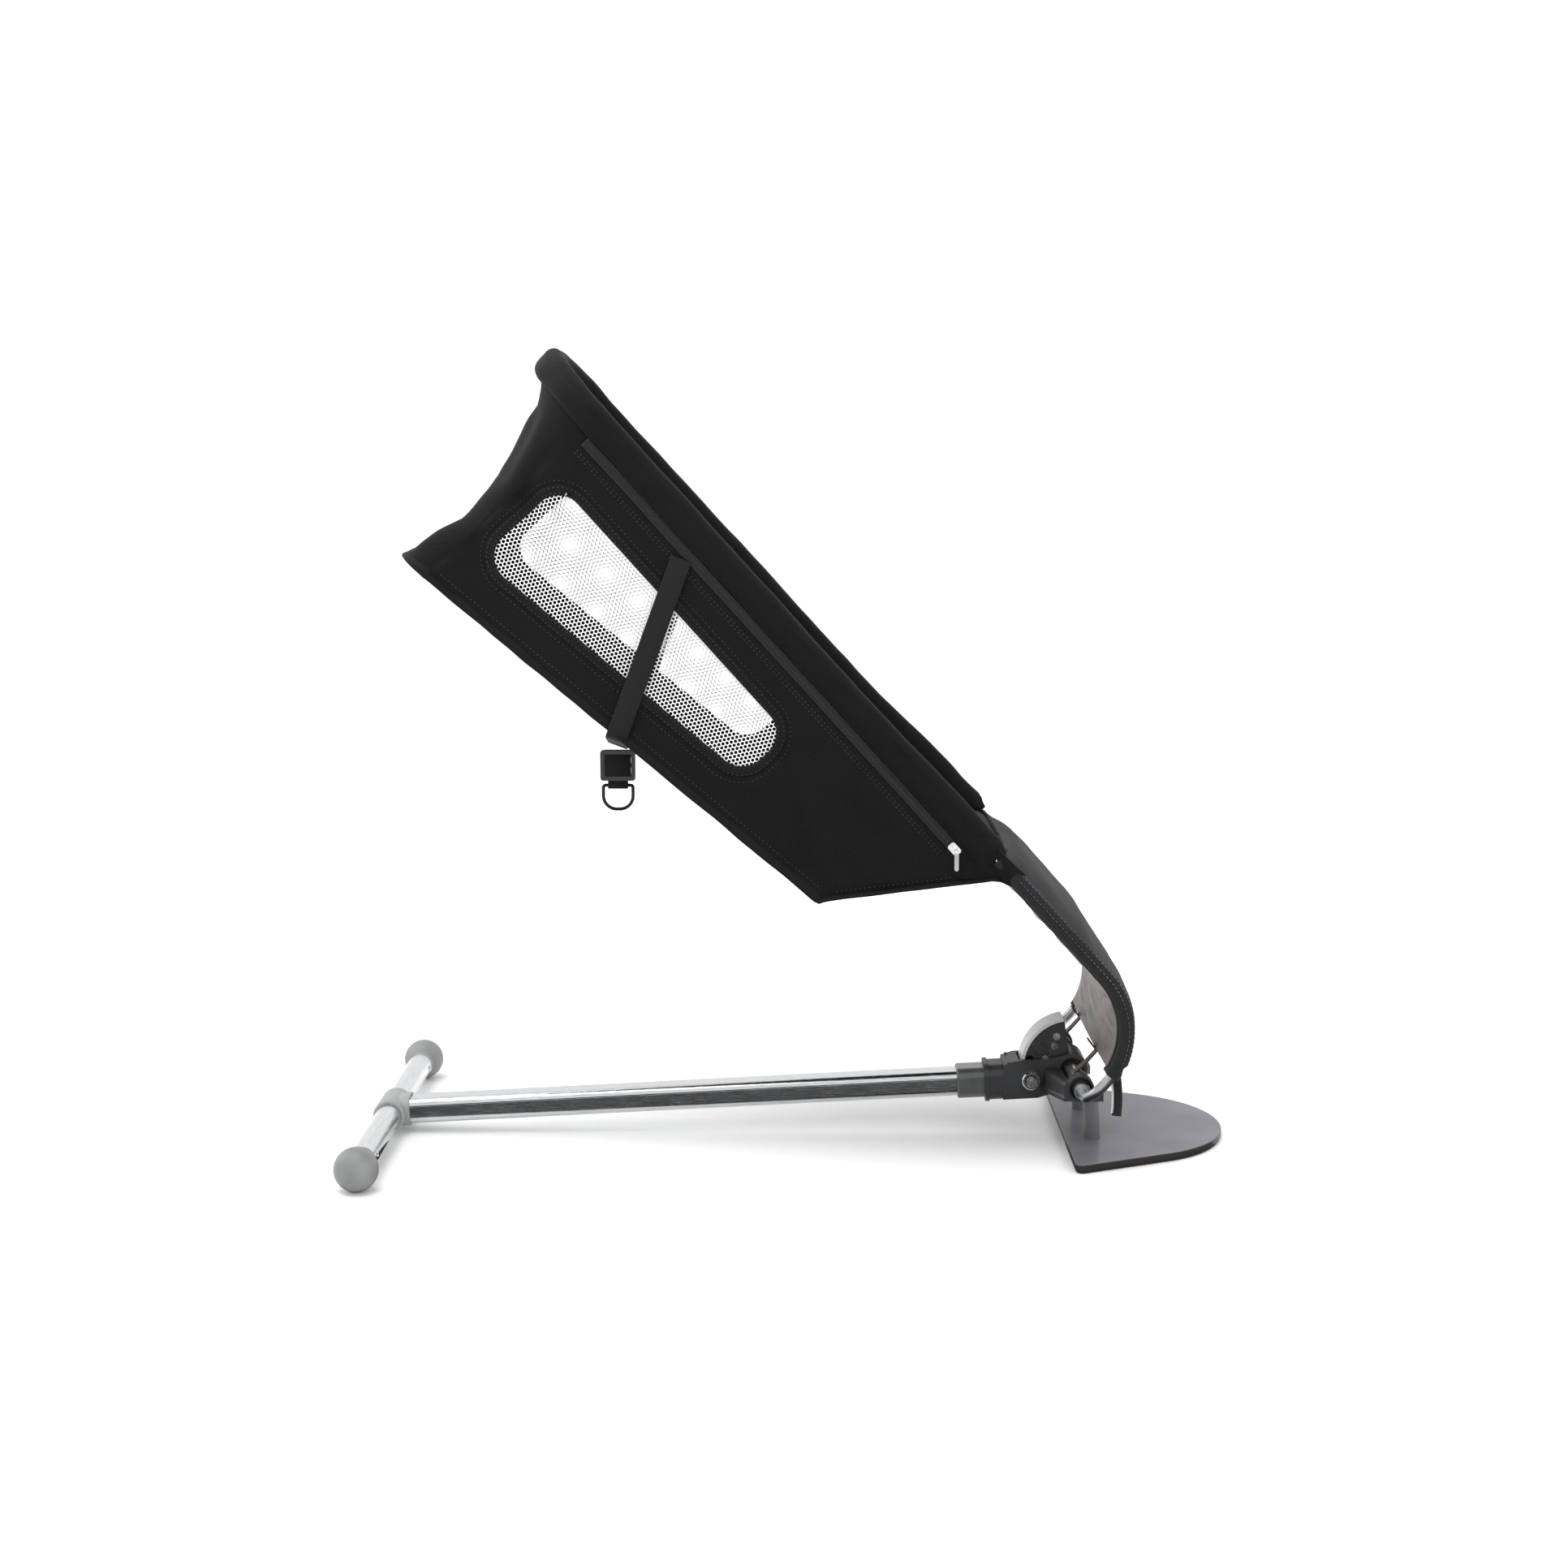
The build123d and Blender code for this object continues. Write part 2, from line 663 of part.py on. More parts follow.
with BuildPart() as sector_plate:
    with BuildSketch(Plane.XZ.offset(plate_inner)):
        add(sector_arc(10, sector_radius, sector_start, sector_end))
        with Locations((axle_x, axle_height)):
            Circle(sector_hub_radius)
            Circle(axle_radius + push_gap / 2, mode=Mode.SUBTRACT)
        with Locations(*[(place.X, place.Z) for place in fixing_places]):
            Circle(2 + push_gap, mode=Mode.SUBTRACT)
    extrude(amount=sector_plate_thickness)
    # Guide slot for the lock pin, with one notch for each recline position
    with BuildSketch(Plane.XZ.offset(plate_inner)):
        add(sector_arc(lock_radius - lock_pin_radius - 0.2, lock_radius + lock_pin_radius + 0.2,
                       lock_angle - recline_range - 1, lock_angle + 1))
        notches = [polar(axle, lock_radius, lock_angle - stop_step * step)
                   for step in range(recline_stops)]
        with Locations(*[(notch.X, notch.Z) for notch in notches]):
            Circle(lock_pin_radius + 0.9)
    extrude(amount=sector_plate_thickness, mode=Mode.SUBTRACT)
    # Moulded slots that lighten the plate
    with BuildSketch(Plane.XZ.offset(plate_outer)):
        for slot in range(slot_count):
            centre = polar(axle, 33.5 if slot % 2 == 0 else 30, 141 + 9 * slot)
            with Locations(Location((centre.X, centre.Z), -39 + 9 * slot)):
                SlotOverall(11 if slot % 2 == 0 else 8, slot_width)
    extrude(amount=-2, mode=Mode.SUBTRACT)
save_pair(sector_plate, "sector_plate")

with BuildPart() as sector_hub:
    with BuildSketch(Plane.XZ):
        with Locations((axle_x, axle_height)):
            Circle(sector_hub_radius)
            Circle(axle_radius + push_gap / 2, mode=Mode.SUBTRACT)
    extrude(amount=plate_inner, both=True)
save(sector_hub, "sector_hub")

with BuildPart() as sector_rim:
    with BuildSketch(Plane.XZ):
        add(sector_arc(sector_radius + running_gap, sector_outer, sector_start + 1, 181))
    extrude(amount=sector_cover_width / 2, both=True)
save(sector_rim, "sector_rim")

with BuildPart() as sector_spacers:
    with BuildSketch(Plane.XZ):
        with Locations(*[(place.X, place.Z) for place in fixing_places]):
            Circle(4)
            Circle(2 + push_gap, mode=Mode.SUBTRACT)
    extrude(amount=plate_inner, both=True)
save(sector_spacers, "sector_spacers")

with BuildPart() as sector_screws:
    with BuildSketch(Plane.XZ):
        with Locations(*[(place.X, place.Z) for place in fixing_places]):
            Circle(2)
    extrude(amount=plate_outer + 0.5, both=True)
    for side in (1, -1):
        with BuildSketch(Plane.XZ.offset(side * plate_outer)):
            with Locations(*[(place.X, place.Z) for place in fixing_places]):
                Circle(3.6)
        extrude(amount=side * 1.4)
save(sector_screws, "sector_screws")

# ---- Seat frame: lower rods, couplers and the upper bow

bend_turn = 180 - lower_run_angle - seat_angle
bend_corner = polar(bend_start, leg_bend * tan(radians(bend_turn / 2)), lower_run_angle)


def rod_sweep(path, radius):
    """A round rod along a path."""
    with BuildSketch(Plane(origin=path @ 0, z_dir=path % 0)) as section:
        Circle(radius)
    sweep(section.sketch, path=path)


with BuildPart() as side_rod:
    with BuildLine() as rod_line:
        FilletPolyline(axle + Vector(0, -axle_half_length + 30, 0),
                       axle + Vector(0, -half_spacing, 0),
                       bend_corner + Vector(0, -half_spacing, 0),
                       seat_point(knee, 0, -half_spacing),
                       seat_point(rod_joint, 0, -half_width(rod_joint)),
                       radius=[stub_bend, leg_bend, knee_bend])
    rod_sweep(rod_line.wires()[0], rod_radius)
save_pair(side_rod, "side_rod")


def coupler_plane(distance):
    """A plane square to the right-hand rod at a distance along the seat."""
    return Plane(origin=seat_point(distance, 0, -half_width(distance)), z_dir=wall_along)


with BuildPart() as rod_couplers:
    with BuildSketch(coupler_plane(coupler_start)):
        Circle(coupler_radius)
        Circle(rod_radius + push_gap / 2, mode=Mode.SUBTRACT)
    extrude(amount=coupler_length)
    mirror(about=Plane.XZ)
save(rod_couplers, "rod_couplers")


def bow_path(start):
    """The upper bow's centre line, from a distance up one side round to the other."""
    return FilletPolyline(seat_point(start, 0, -half_width(start)),
                          seat_point(seat_length, 0, -half_width(seat_length)),
                          seat_point(seat_length, 0, half_width(seat_length)),
                          seat_point(start, 0, half_width(start)), radius=head_bend)


with BuildPart() as upper_bow:
    with BuildLine() as bow_line:
        bow_path(rod_joint + 0.2)
    rod_sweep(bow_line.wires()[0], rod_radius)
save(upper_bow, "upper_bow")

# ---- Fabric bucket: rim sleeve, walls and window

with BuildPart() as rim_sleeve:
    with BuildLine() as sleeve_line:
        bow_path(sleeve_start)
    sleeve_path = sleeve_line.wires()[0]
    section = Plane(origin=sleeve_path @ 0, x_dir=out * -1, z_dir=sleeve_path % 0)
    with BuildSketch(section):
        with Locations(((sleeve_drop - sleeve_rise) / 2, 0)):
            RectangleRounded(sleeve_rise + sleeve_drop, sleeve_width, 6)
        Circle(rod_radius + cloth_gap, mode=Mode.SUBTRACT)
    sweep(path=sleeve_path)
save(rim_sleeve, "rim_sleeve")


def back_depth(distance):
    """Depth of the bucket's underside below the rod line, along the back."""
    rise = (head_depth - corner_depth) / (head_along - corner_along)
    return corner_depth + (distance - corner_along) * rise


def window_outline(margin):
    """Rounded window in the side wall, grown by a margin."""
    with BuildSketch() as window:
        with BuildLine():
            FilletPolyline(wall_xy(window_start - margin, window_top - margin),
                           wall_xy(window_end + margin, window_top - margin),
                           wall_xy(window_end + margin, window_high_depth + margin),
                           wall_xy(window_start - margin, window_low_depth + margin * 1.1),
                           radius=window_corner + margin, close=True)
        make_face()
    return window.sketch


wall_top = sleeve_drop + 0.3
wall_end = shell_start - 0.2

with BuildPart() as side_wall:
    with BuildSketch(wall_view):
        with BuildLine():
            Polyline(wall_xy(sleeve_start - 6, wall_top), wall_xy(wall_end, wall_top),
                     wall_xy(wall_end, back_depth(wall_end)),
                     wall_xy(corner_along, corner_depth), wall_xy(146, wall_top), close=True)
        make_face()
        add(window_outline(0), mode=Mode.SUBTRACT)
    extrude(amount=wall_thickness / 2, both=True)
save_pair(side_wall, "side_wall")

with BuildPart() as window_mesh:
    with BuildSketch(wall_view):
        add(window_outline(-push_gap))
    extrude(amount=0.5, both=True)
save_pair(window_mesh, "window_mesh")

with BuildPart() as window_binding:
    with BuildSketch(wall_view.offset(wall_thickness / 2)):
        add(window_outline(binding_width))
        add(window_outline(0), mode=Mode.SUBTRACT)
    extrude(amount=binding_thickness)
save_both(window_binding, "window_bindings")

# ---- Fabric bucket: head wall, back and seat

core_inset = wall_thickness / 2 + 0.2


def head_section(depth, reach, inset):
    """Closed outline of the head end at a depth, reaching a distance along the seat."""
    near = half_width(shell_start) + wall_thickness / 2 - inset
    far = near - (reach - shell_start) * tan(side_taper)
    corner = reach - shell_start - 2
    level = Plane(origin=seat_point(0, depth), x_dir=along, z_dir=out)
    with BuildSketch(level) as outline:
        with BuildLine():
            Polyline((shell_start, -near), (reach, -far), (reach, far), (shell_start, near),
                     close=True)
        make_face()
        fillet(outline.vertices().group_by(Axis.X)[-1], corner)
    return outline.sketch


def head_sections(inset):
    """Outlines of the head end from its top edge down, the first and last a little longer."""
    ends = 0.1 if inset else 0
    return [head_section(wall_top + depth + (ends if depth else -ends), reach - inset, inset)
            for depth, reach in head_wall_reach]


with BuildPart() as head_wall:
    loft(head_sections(0), ruled=True)
    loft(head_sections(wall_thickness), ruled=True, mode=Mode.SUBTRACT)
    # Cut off along the bucket's underside
    with BuildSketch(side_view):
        with BuildLine():
            Polyline((shell_start - 20, back_depth(shell_start - 20)), (820, back_depth(820)),
                     (820, 300), (shell_start - 20, 300), close=True)
        make_face()
    extrude(amount=half_spacing, both=True, mode=Mode.SUBTRACT)
save(head_wall, "head_wall")

back_direction = Vector(head_along - corner_along, head_depth - corner_depth).normalized()
seat_direction = Vector(front_along - corner_along, front_depth - corner_depth).normalized()
back_normal = Vector(back_direction.Y, -back_direction.X)
seat_normal = Vector(-seat_direction.Y, seat_direction.X)
corner_point = Vector(corner_along, corner_depth)
mitre = (back_normal + seat_normal) * (1 / (1 + back_normal.dot(seat_normal)))


def back_layer(low, high, start, end):
    """Side outline of a layer of the back, from its heights above the underside."""
    near = corner_point + mitre * low + back_direction * start
    near_top = corner_point + mitre * high + back_direction * start
    far = corner_point + back_normal * low + back_direction * end
    far_top = corner_point + back_normal * high + back_direction * end
    return [(point.X, point.Y) for point in (near, far, far_top, near_top)]


def seat_layer(low, high, start, end):
    """Side outline of a layer of the seat, from its heights above the underside."""
    near = corner_point + mitre * low + seat_direction * start
    near_top = corner_point + mitre * high + seat_direction * start
    far = corner_point + seat_normal * low + seat_direction * end
    far_top = corner_point + seat_normal * high + seat_direction * end
    return [(point.X, point.Y) for point in (near, far, far_top, near_top)]


back_length = hypot(head_along - corner_along, head_depth - corner_depth)
seat_run = hypot(front_along - corner_along, front_depth - corner_depth)
board_low = panel_thickness + 0.1
board_high = board_low + board_thickness
pad_low = board_high + 0.1
pad_high = pad_low + pad_thickness


def layer(outline, inset, head_corner):
    """A flat layer with the bucket's tapering plan."""
    with BuildSketch(side_view) as side:
        with BuildLine():
            Polyline(*outline, close=True)
        make_face()
    extrude(side.sketch, amount=half_spacing, both=True)
    with BuildSketch(plan_view) as plan:
        with BuildLine():
            Polyline(*plan_outline(100, head_along - wall_thickness - 3, inset), close=True)
        make_face()
        fillet(plan.vertices().group_by(Axis.X)[-1], head_corner)
    extrude(plan.sketch, amount=400, both=True, mode=Mode.INTERSECT)


with BuildPart() as back_panel:
    layer(back_layer(0, panel_thickness, 0.2, back_length - 6), core_inset, shell_corner + 4)
save(back_panel, "back_panel")

with BuildPart() as back_board:
    layer(back_layer(board_low, board_high, 14, back_length - 22), board_margin, 20)
save(back_board, "back_board")

with BuildPart() as back_pad:
    layer(back_layer(pad_low, pad_high, 0.4, back_length - 10), core_inset + 0.6,
          shell_corner + 8)
save(back_pad, "back_pad")

with BuildPart() as seat_panel:
    layer(seat_layer(0, panel_thickness, 0.2, seat_run), core_inset, shell_corner)
save(seat_panel, "seat_panel")

with BuildPart() as seat_board:
    layer(seat_layer(board_low, board_high, 14, seat_run - 16), board_margin, shell_corner)
save(seat_board, "seat_board")

with BuildPart() as seat_pad:
    layer(seat_layer(pad_low, pad_high, 0.4, seat_run - 14), core_inset + 0.6, shell_corner)
save(seat_pad, "seat_pad")

# ---- Leg cover, lining and ties


def bend_band(inner, outer, start_angle, end_along):
    """Side outline of a band that follows the leg bend and then the straight rods."""
    middle = (start_angle + leg_top_angle) / 2
    low_in = polar(bend_centre, inner, start_angle)
    mid_in = polar(bend_centre, inner, middle)
    top_in = polar(bend_centre, inner, leg_top_angle)
    low_out = polar(bend_centre, outer, start_angle)
    mid_out = polar(bend_centre, outer, middle)
    top_out = polar(bend_centre, outer, leg_top_angle)
    end_in = top_in + along * end_along
    end_out = top_out + along * end_along
    with BuildSketch() as band:
        with BuildLine():
            ThreePointArc((low_in.X, low_in.Z), (mid_in.X, mid_in.Z), (top_in.X, top_in.Z))
            Polyline((top_in.X, top_in.Z), (end_in.X, end_in.Z), (end_out.X, end_out.Z),
                     (top_out.X, top_out.Z))
            ThreePointArc((top_out.X, top_out.Z), (mid_out.X, mid_out.Z), (low_out.X, low_out.Z))
            Line((low_out.X, low_out.Z), (low_in.X, low_in.Z))
        make_face()
    return band.sketch


cover_inner = leg_bend + rod_radius + cloth_gap
lining_outer = leg_bend - rod_radius - cloth_gap

with BuildPart() as leg_cover:
    with BuildSketch(Plane.XZ):
        add(bend_band(cover_inner, cover_inner + cover_thickness, cover_hem_angle, cover_end))
    extrude(amount=cover_half_width, both=True)
save(leg_cover, "leg_cover")

with BuildPart() as leg_lining:
    with BuildSketch(Plane.XZ):
        add(bend_band(lining_outer - cover_thickness, lining_outer, lining_hem_angle,
                      lining_end))
    extrude(amount=cover_half_width, both=True)
save(leg_lining, "leg_lining")

lining_hem = polar(bend_centre, lining_outer - cover_thickness / 2, lining_hem_angle - 1)
hem_offset = lining_hem - axle
hem_distance = hypot(hem_offset.X, hem_offset.Z)
hem_direction = degrees(atan2(hem_offset.Z, hem_offset.X))

with BuildPart() as tie_straps:
    with BuildSketch(Plane.XZ.offset((tie_spacing - tie_width) / 2)):
        with Locations((axle_x, axle_height)):
            Circle(tie_loop_radius)
        with Locations(Location((axle_x, axle_height), hem_direction)):
            Rectangle(hem_distance - 2.2, tie_thickness, align=(Align.MIN, Align.CENTER))
        with Locations((axle_x, axle_height)):
            Circle(axle_radius + cloth_gap, mode=Mode.SUBTRACT)
    extrude(amount=tie_width)
    mirror(about=Plane.XZ)
save(tie_straps, "tie_straps")

# ---- Zips: tape, slider and puller on each side

zip_face = wall_thickness / 2 + push_gap
slider_face = zip_face + zip_thickness + slider_gap

with BuildPart() as zip_tape:
    with BuildSketch(wall_view.offset(zip_face)):
        with BuildLine():
            Polyline(wall_xy(zip_start, zip_depth - zip_width / 2),
                     wall_xy(zip_end, zip_depth - zip_width / 2),
                     wall_xy(zip_end, zip_depth + zip_width / 2),
                     wall_xy(zip_start, zip_depth + zip_width / 2), close=True)
        make_face()
    extrude(amount=zip_thickness)
save_both(zip_tape, "zip_tapes")

slider_place = wall_xy(slider_start, zip_depth)
pin_place = (slider_place[0] - slider_length / 4, slider_place[1])
puller_face = slider_face + slider_thickness

with BuildPart() as zip_slider:
    with BuildSketch(wall_view.offset(slider_face)):
        with Locations(slider_place):
            RectangleRounded(slider_length, slider_width, 2.5)
    extrude(amount=slider_thickness - 0.8)
    with BuildSketch(wall_view.offset(puller_face - 0.8)):
        with Locations(pin_place):
            Circle(2.2)
    extrude(amount=0.5)
    with BuildSketch(wall_view.offset(slider_face)):
        with Locations(pin_place):
            Circle(puller_pin_radius)
    extrude(amount=slider_thickness + puller_thickness + 0.3)
    with BuildSketch(wall_view.offset(puller_face + puller_thickness + 0.3)):
        with Locations(pin_place):
            Circle(puller_pin_radius + 0.8)
    extrude(amount=0.8)
save_pair(zip_slider, "zip_slider")

hang_turn = seat_angle + 90

with BuildPart() as zip_puller:
    with BuildSketch(wall_view.offset(puller_face)):
        with Locations(Location(pin_place, hang_turn)):
            with Locations((puller_length / 2 - puller_width / 2, 0)):
                SlotOverall(puller_length, puller_width)
            Circle(puller_pin_radius + running_gap, mode=Mode.SUBTRACT)
    extrude(amount=puller_thickness)
save_pair(zip_puller, "zip_puller")

tail_top = polar(bend_centre, cover_inner + cover_thickness / 2, cover_hem_angle - 1)

with BuildPart() as leg_zip_tail:
    with BuildSketch(Plane.XZ.offset(half_spacing - 6)):
        with Locations((tail_top.X + 1, tail_top.Z)):
            Rectangle(9, tail_length, align=(Align.CENTER, Align.MAX))
    extrude(amount=zip_thickness)
save(leg_zip_tail, "leg_zip_tail")

# ---- Support strap, adjuster and ring

strap_run = Vector(strap_low_along - strap_top_along, strap_low_depth - strap_top_depth)
strap_length = hypot(strap_run.X, strap_run.Y)
strap_down = along * (strap_run.X / strap_length) - out * (strap_run.Y / strap_length)
strap_top = seat_point(strap_top_along, strap_top_depth)
strap_view = Plane(origin=strap_top, x_dir=(0, 1, 0), z_dir=Vector(0, 1, 0).cross(strap_down))
strap_clearance = zip_face + zip_thickness + strap_gap + strap_thickness / 2
top_reach = half_width(strap_top_along) + strap_clearance
low_reach = half_width(strap_low_along) + strap_clearance
strap_points = [(-top_reach, 0), (-low_reach, strap_length), (0, strap_length + strap_sag),
                (low_reach, strap_length), (top_reach, 0)]

with BuildPart() as support_strap:
    with BuildSketch(strap_view):
        with BuildLine():
            Polyline(*strap_points)
        trace(line_width=strap_thickness)
    extrude(amount=strap_width / 2, both=True)
save(support_strap, "support_strap")

strap_centre = strap_top + strap_down * (strap_length + strap_sag)
strap_low_edge = strap_centre.Z - abs(strap_view.z_dir.Z) * strap_width / 2
adjuster_top = strap_low_edge - strap_thickness / 2 - 0.3

with BuildPart() as strap_adjuster:
    with BuildSketch(Plane.XZ):
        with Locations((strap_centre.X, adjuster_top)):
            RectangleRounded(adjuster_width, adjuster_height, 3,
                             align=(Align.CENTER, Align.MAX))
        for row in (1, 2):
            with Locations((strap_centre.X, adjuster_top - row * adjuster_height / 3)):
                Rectangle(adjuster_width - 2 * adjuster_bar, adjuster_height / 3 - adjuster_bar,
                          mode=Mode.SUBTRACT)
    extrude(amount=adjuster_thickness / 2, both=True)
save(strap_adjuster, "strap_adjuster")

ring_bar_z = adjuster_top - adjuster_height - ring_wire - 3.0

with BuildPart() as ring_loop:
    with BuildSketch(Plane.YZ.offset(strap_centre.X)):
        with Locations((0, ring_bar_z)):
            Circle(ring_wire + 0.3 + strap_thickness)
            Rectangle(2 * strap_thickness, adjuster_top - adjuster_height - ring_bar_z,
                      align=(Align.CENTER, Align.MIN))
            Circle(ring_wire + 0.3, mode=Mode.SUBTRACT)
    extrude(amount=strap_width / 2, both=True)
save(ring_loop, "ring_loop")

with BuildPart() as d_ring:
    ring_half = ring_width / 2 - ring_wire
    ring_low_z = ring_bar_z - ring_height + ring_wire
    with BuildLine() as ring_line:
        FilletPolyline((strap_centre.X + ring_half, 0, ring_bar_z),
                       (strap_centre.X + ring_half, 0, ring_low_z),
                       (strap_centre.X - ring_half, 0, ring_low_z),
                       (strap_centre.X - ring_half, 0, ring_bar_z),
                       radius=[2.5, ring_half - 1.5, ring_half - 1.5, 2.5], close=True)
    rod_sweep(ring_line.wires()[0], ring_wire)
save(d_ring, "d_ring")

# ---- Harness: crotch strap, waist straps, tongues and buckle, lying on the back pad

back_up = along * back_direction.X - out * back_direction.Y
back_out = along * back_normal.X - out * back_normal.Y
pad_corner = corner_point + mitre * pad_high
pad_origin = seat_point(pad_corner.X, pad_corner.Y)
pad_view = Plane(origin=pad_origin, x_dir=back_up, z_dir=back_out)
buckle_low = 0.4
buckle_half = buckle_width / 2
strap_level = buckle_low + buckle_thickness / 2 - harness_thickness / 2

with BuildPart() as buckle_body:
    with BuildSketch(pad_view.offset(buckle_low)):
        with Locations((buckle_along, 0)):
            RectangleRounded(buckle_length, buckle_width, 9)
    extrude(amount=buckle_thickness)
    with BuildSketch(pad_view.offset(buckle_low + buckle_thickness)):
        with Locations((buckle_along, 0)):
            Circle(button_hole_radius)
    extrude(amount=-3.5, mode=Mode.SUBTRACT)
    # Mouths for the tongues and the slot for the crotch strap
    with BuildSketch(pad_view.offset(strap_level - 1)):
        with Locations((buckle_along, buckle_half), (buckle_along, -buckle_half)):
            Rectangle(harness_width + 2, 24)
        with Locations((buckle_along - buckle_length / 2, 0)):
            Rectangle(12, harness_width + 1)
    extrude(amount=harness_thickness + 2, mode=Mode.SUBTRACT)
save(buckle_body, "buckle_body")

with BuildPart() as buckle_button:
    with BuildSketch(pad_view.offset(buckle_low + buckle_thickness - 1.7)):
        with Locations((buckle_along, 0)):
            Circle(button_hole_radius - 0.3)
    extrude(amount=3)
save(buckle_button, "buckle_button")

with BuildPart() as buckle_tongue:
    with BuildSketch(pad_view.offset(strap_level - 0.6)):
        with Locations((buckle_along, buckle_half + 4)):
            RectangleRounded(harness_width, 28, 4)
        with Locations((buckle_along, buckle_half + 12)):
            Rectangle(harness_width - 6, 4, mode=Mode.SUBTRACT)
    extrude(amount=harness_thickness + 1.2)
save_both(buckle_tongue, "buckle_tongues")

waist_start = buckle_half + 18.4
waist_end = half_width(corner_along + buckle_along) - wall_thickness - 1.4

with BuildPart() as waist_strap:
    with BuildSketch(pad_view.offset(strap_level - 0.2)):
        with Locations((buckle_along, (waist_start + waist_end) / 2)):
            Rectangle(harness_width, waist_end - waist_start)
    extrude(amount=harness_thickness)
save_both(waist_strap, "waist_straps")

with BuildPart() as crotch_strap:
    with BuildSketch(Plane(origin=pad_origin, x_dir=back_up, z_dir=back_up.cross(back_out))):
        with BuildLine():
            Polyline((buckle_along - buckle_length / 2 + 5, strap_level + 1),
                     (buckle_along - buckle_length / 2 - 8, strap_level + 1),
                     (14, 3.4))
        trace(line_width=harness_thickness)
    extrude(amount=harness_width / 2, both=True)
save(crotch_strap, "crotch_strap")
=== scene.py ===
from math import atan2, ceil, cos, hypot, pi, radians, sin, sqrt, tan

import bmesh
import bpy
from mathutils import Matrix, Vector, noise


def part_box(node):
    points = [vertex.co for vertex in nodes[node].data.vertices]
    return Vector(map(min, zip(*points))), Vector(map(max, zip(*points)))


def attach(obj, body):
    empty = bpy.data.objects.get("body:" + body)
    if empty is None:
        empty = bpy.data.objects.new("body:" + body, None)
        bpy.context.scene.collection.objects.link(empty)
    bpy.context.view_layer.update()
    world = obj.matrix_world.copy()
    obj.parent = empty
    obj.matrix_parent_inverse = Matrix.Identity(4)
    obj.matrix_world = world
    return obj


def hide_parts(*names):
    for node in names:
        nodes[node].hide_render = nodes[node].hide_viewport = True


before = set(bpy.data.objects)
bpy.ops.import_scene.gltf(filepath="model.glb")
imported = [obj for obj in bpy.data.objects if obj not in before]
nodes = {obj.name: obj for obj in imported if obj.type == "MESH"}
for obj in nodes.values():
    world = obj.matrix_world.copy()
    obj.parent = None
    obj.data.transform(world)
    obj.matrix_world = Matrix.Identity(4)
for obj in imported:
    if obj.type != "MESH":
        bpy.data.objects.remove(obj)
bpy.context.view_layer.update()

mm = 0.001
print("frame loaded:", len(nodes), "CAD nodes")


# Small helpers

# sRGB hex to linear RGBA.
def linear(hexColour):
    parts = [int(hexColour[i:i + 2], 16) / 255 for i in (1, 3, 5)]
    return [p / 12.92 if p <= 0.04045 else ((p + 0.055) / 1.055) ** 2.4 for p in parts] + [1]


# stops are a ramp's (place, colour) pairs, and into is the socket that its first output feeds
def addNode(material, kind, settings=None, values=None, links=None, stops=(), into=None):
    tree = material.node_tree
    node = tree.nodes.new(kind)
    for key, value in (settings or {}).items():
        setattr(node, key, value)
    for socket, value in (values or {}).items():
        node.inputs[socket].default_value = value
    for socket, source in (links or {}).items():
        tree.links.new(source, node.inputs[socket])
    while stops and len(node.color_ramp.elements) < len(stops):
        node.color_ramp.elements.new(0.5)
    for number, (place, colour) in enumerate(stops):
        node.color_ramp.elements[number].position = place
        node.color_ramp.elements[number].color = linear(colour)
    if into:
        tree.links.new(node.outputs[0], into)
    return node


def startMaterial(name, **values):
    material = bpy.data.materials.new(name)
    material.use_nodes = True
    shader = material.node_tree.nodes["Principled BSDF"]
    for socket, value in values.items():
        shader.inputs[socket.replace("_", " ")].default_value = value
    return material, shader


def setMaterial(piece, material):
    piece.data.materials.clear()
    piece.data.materials.append(material)


# Materials

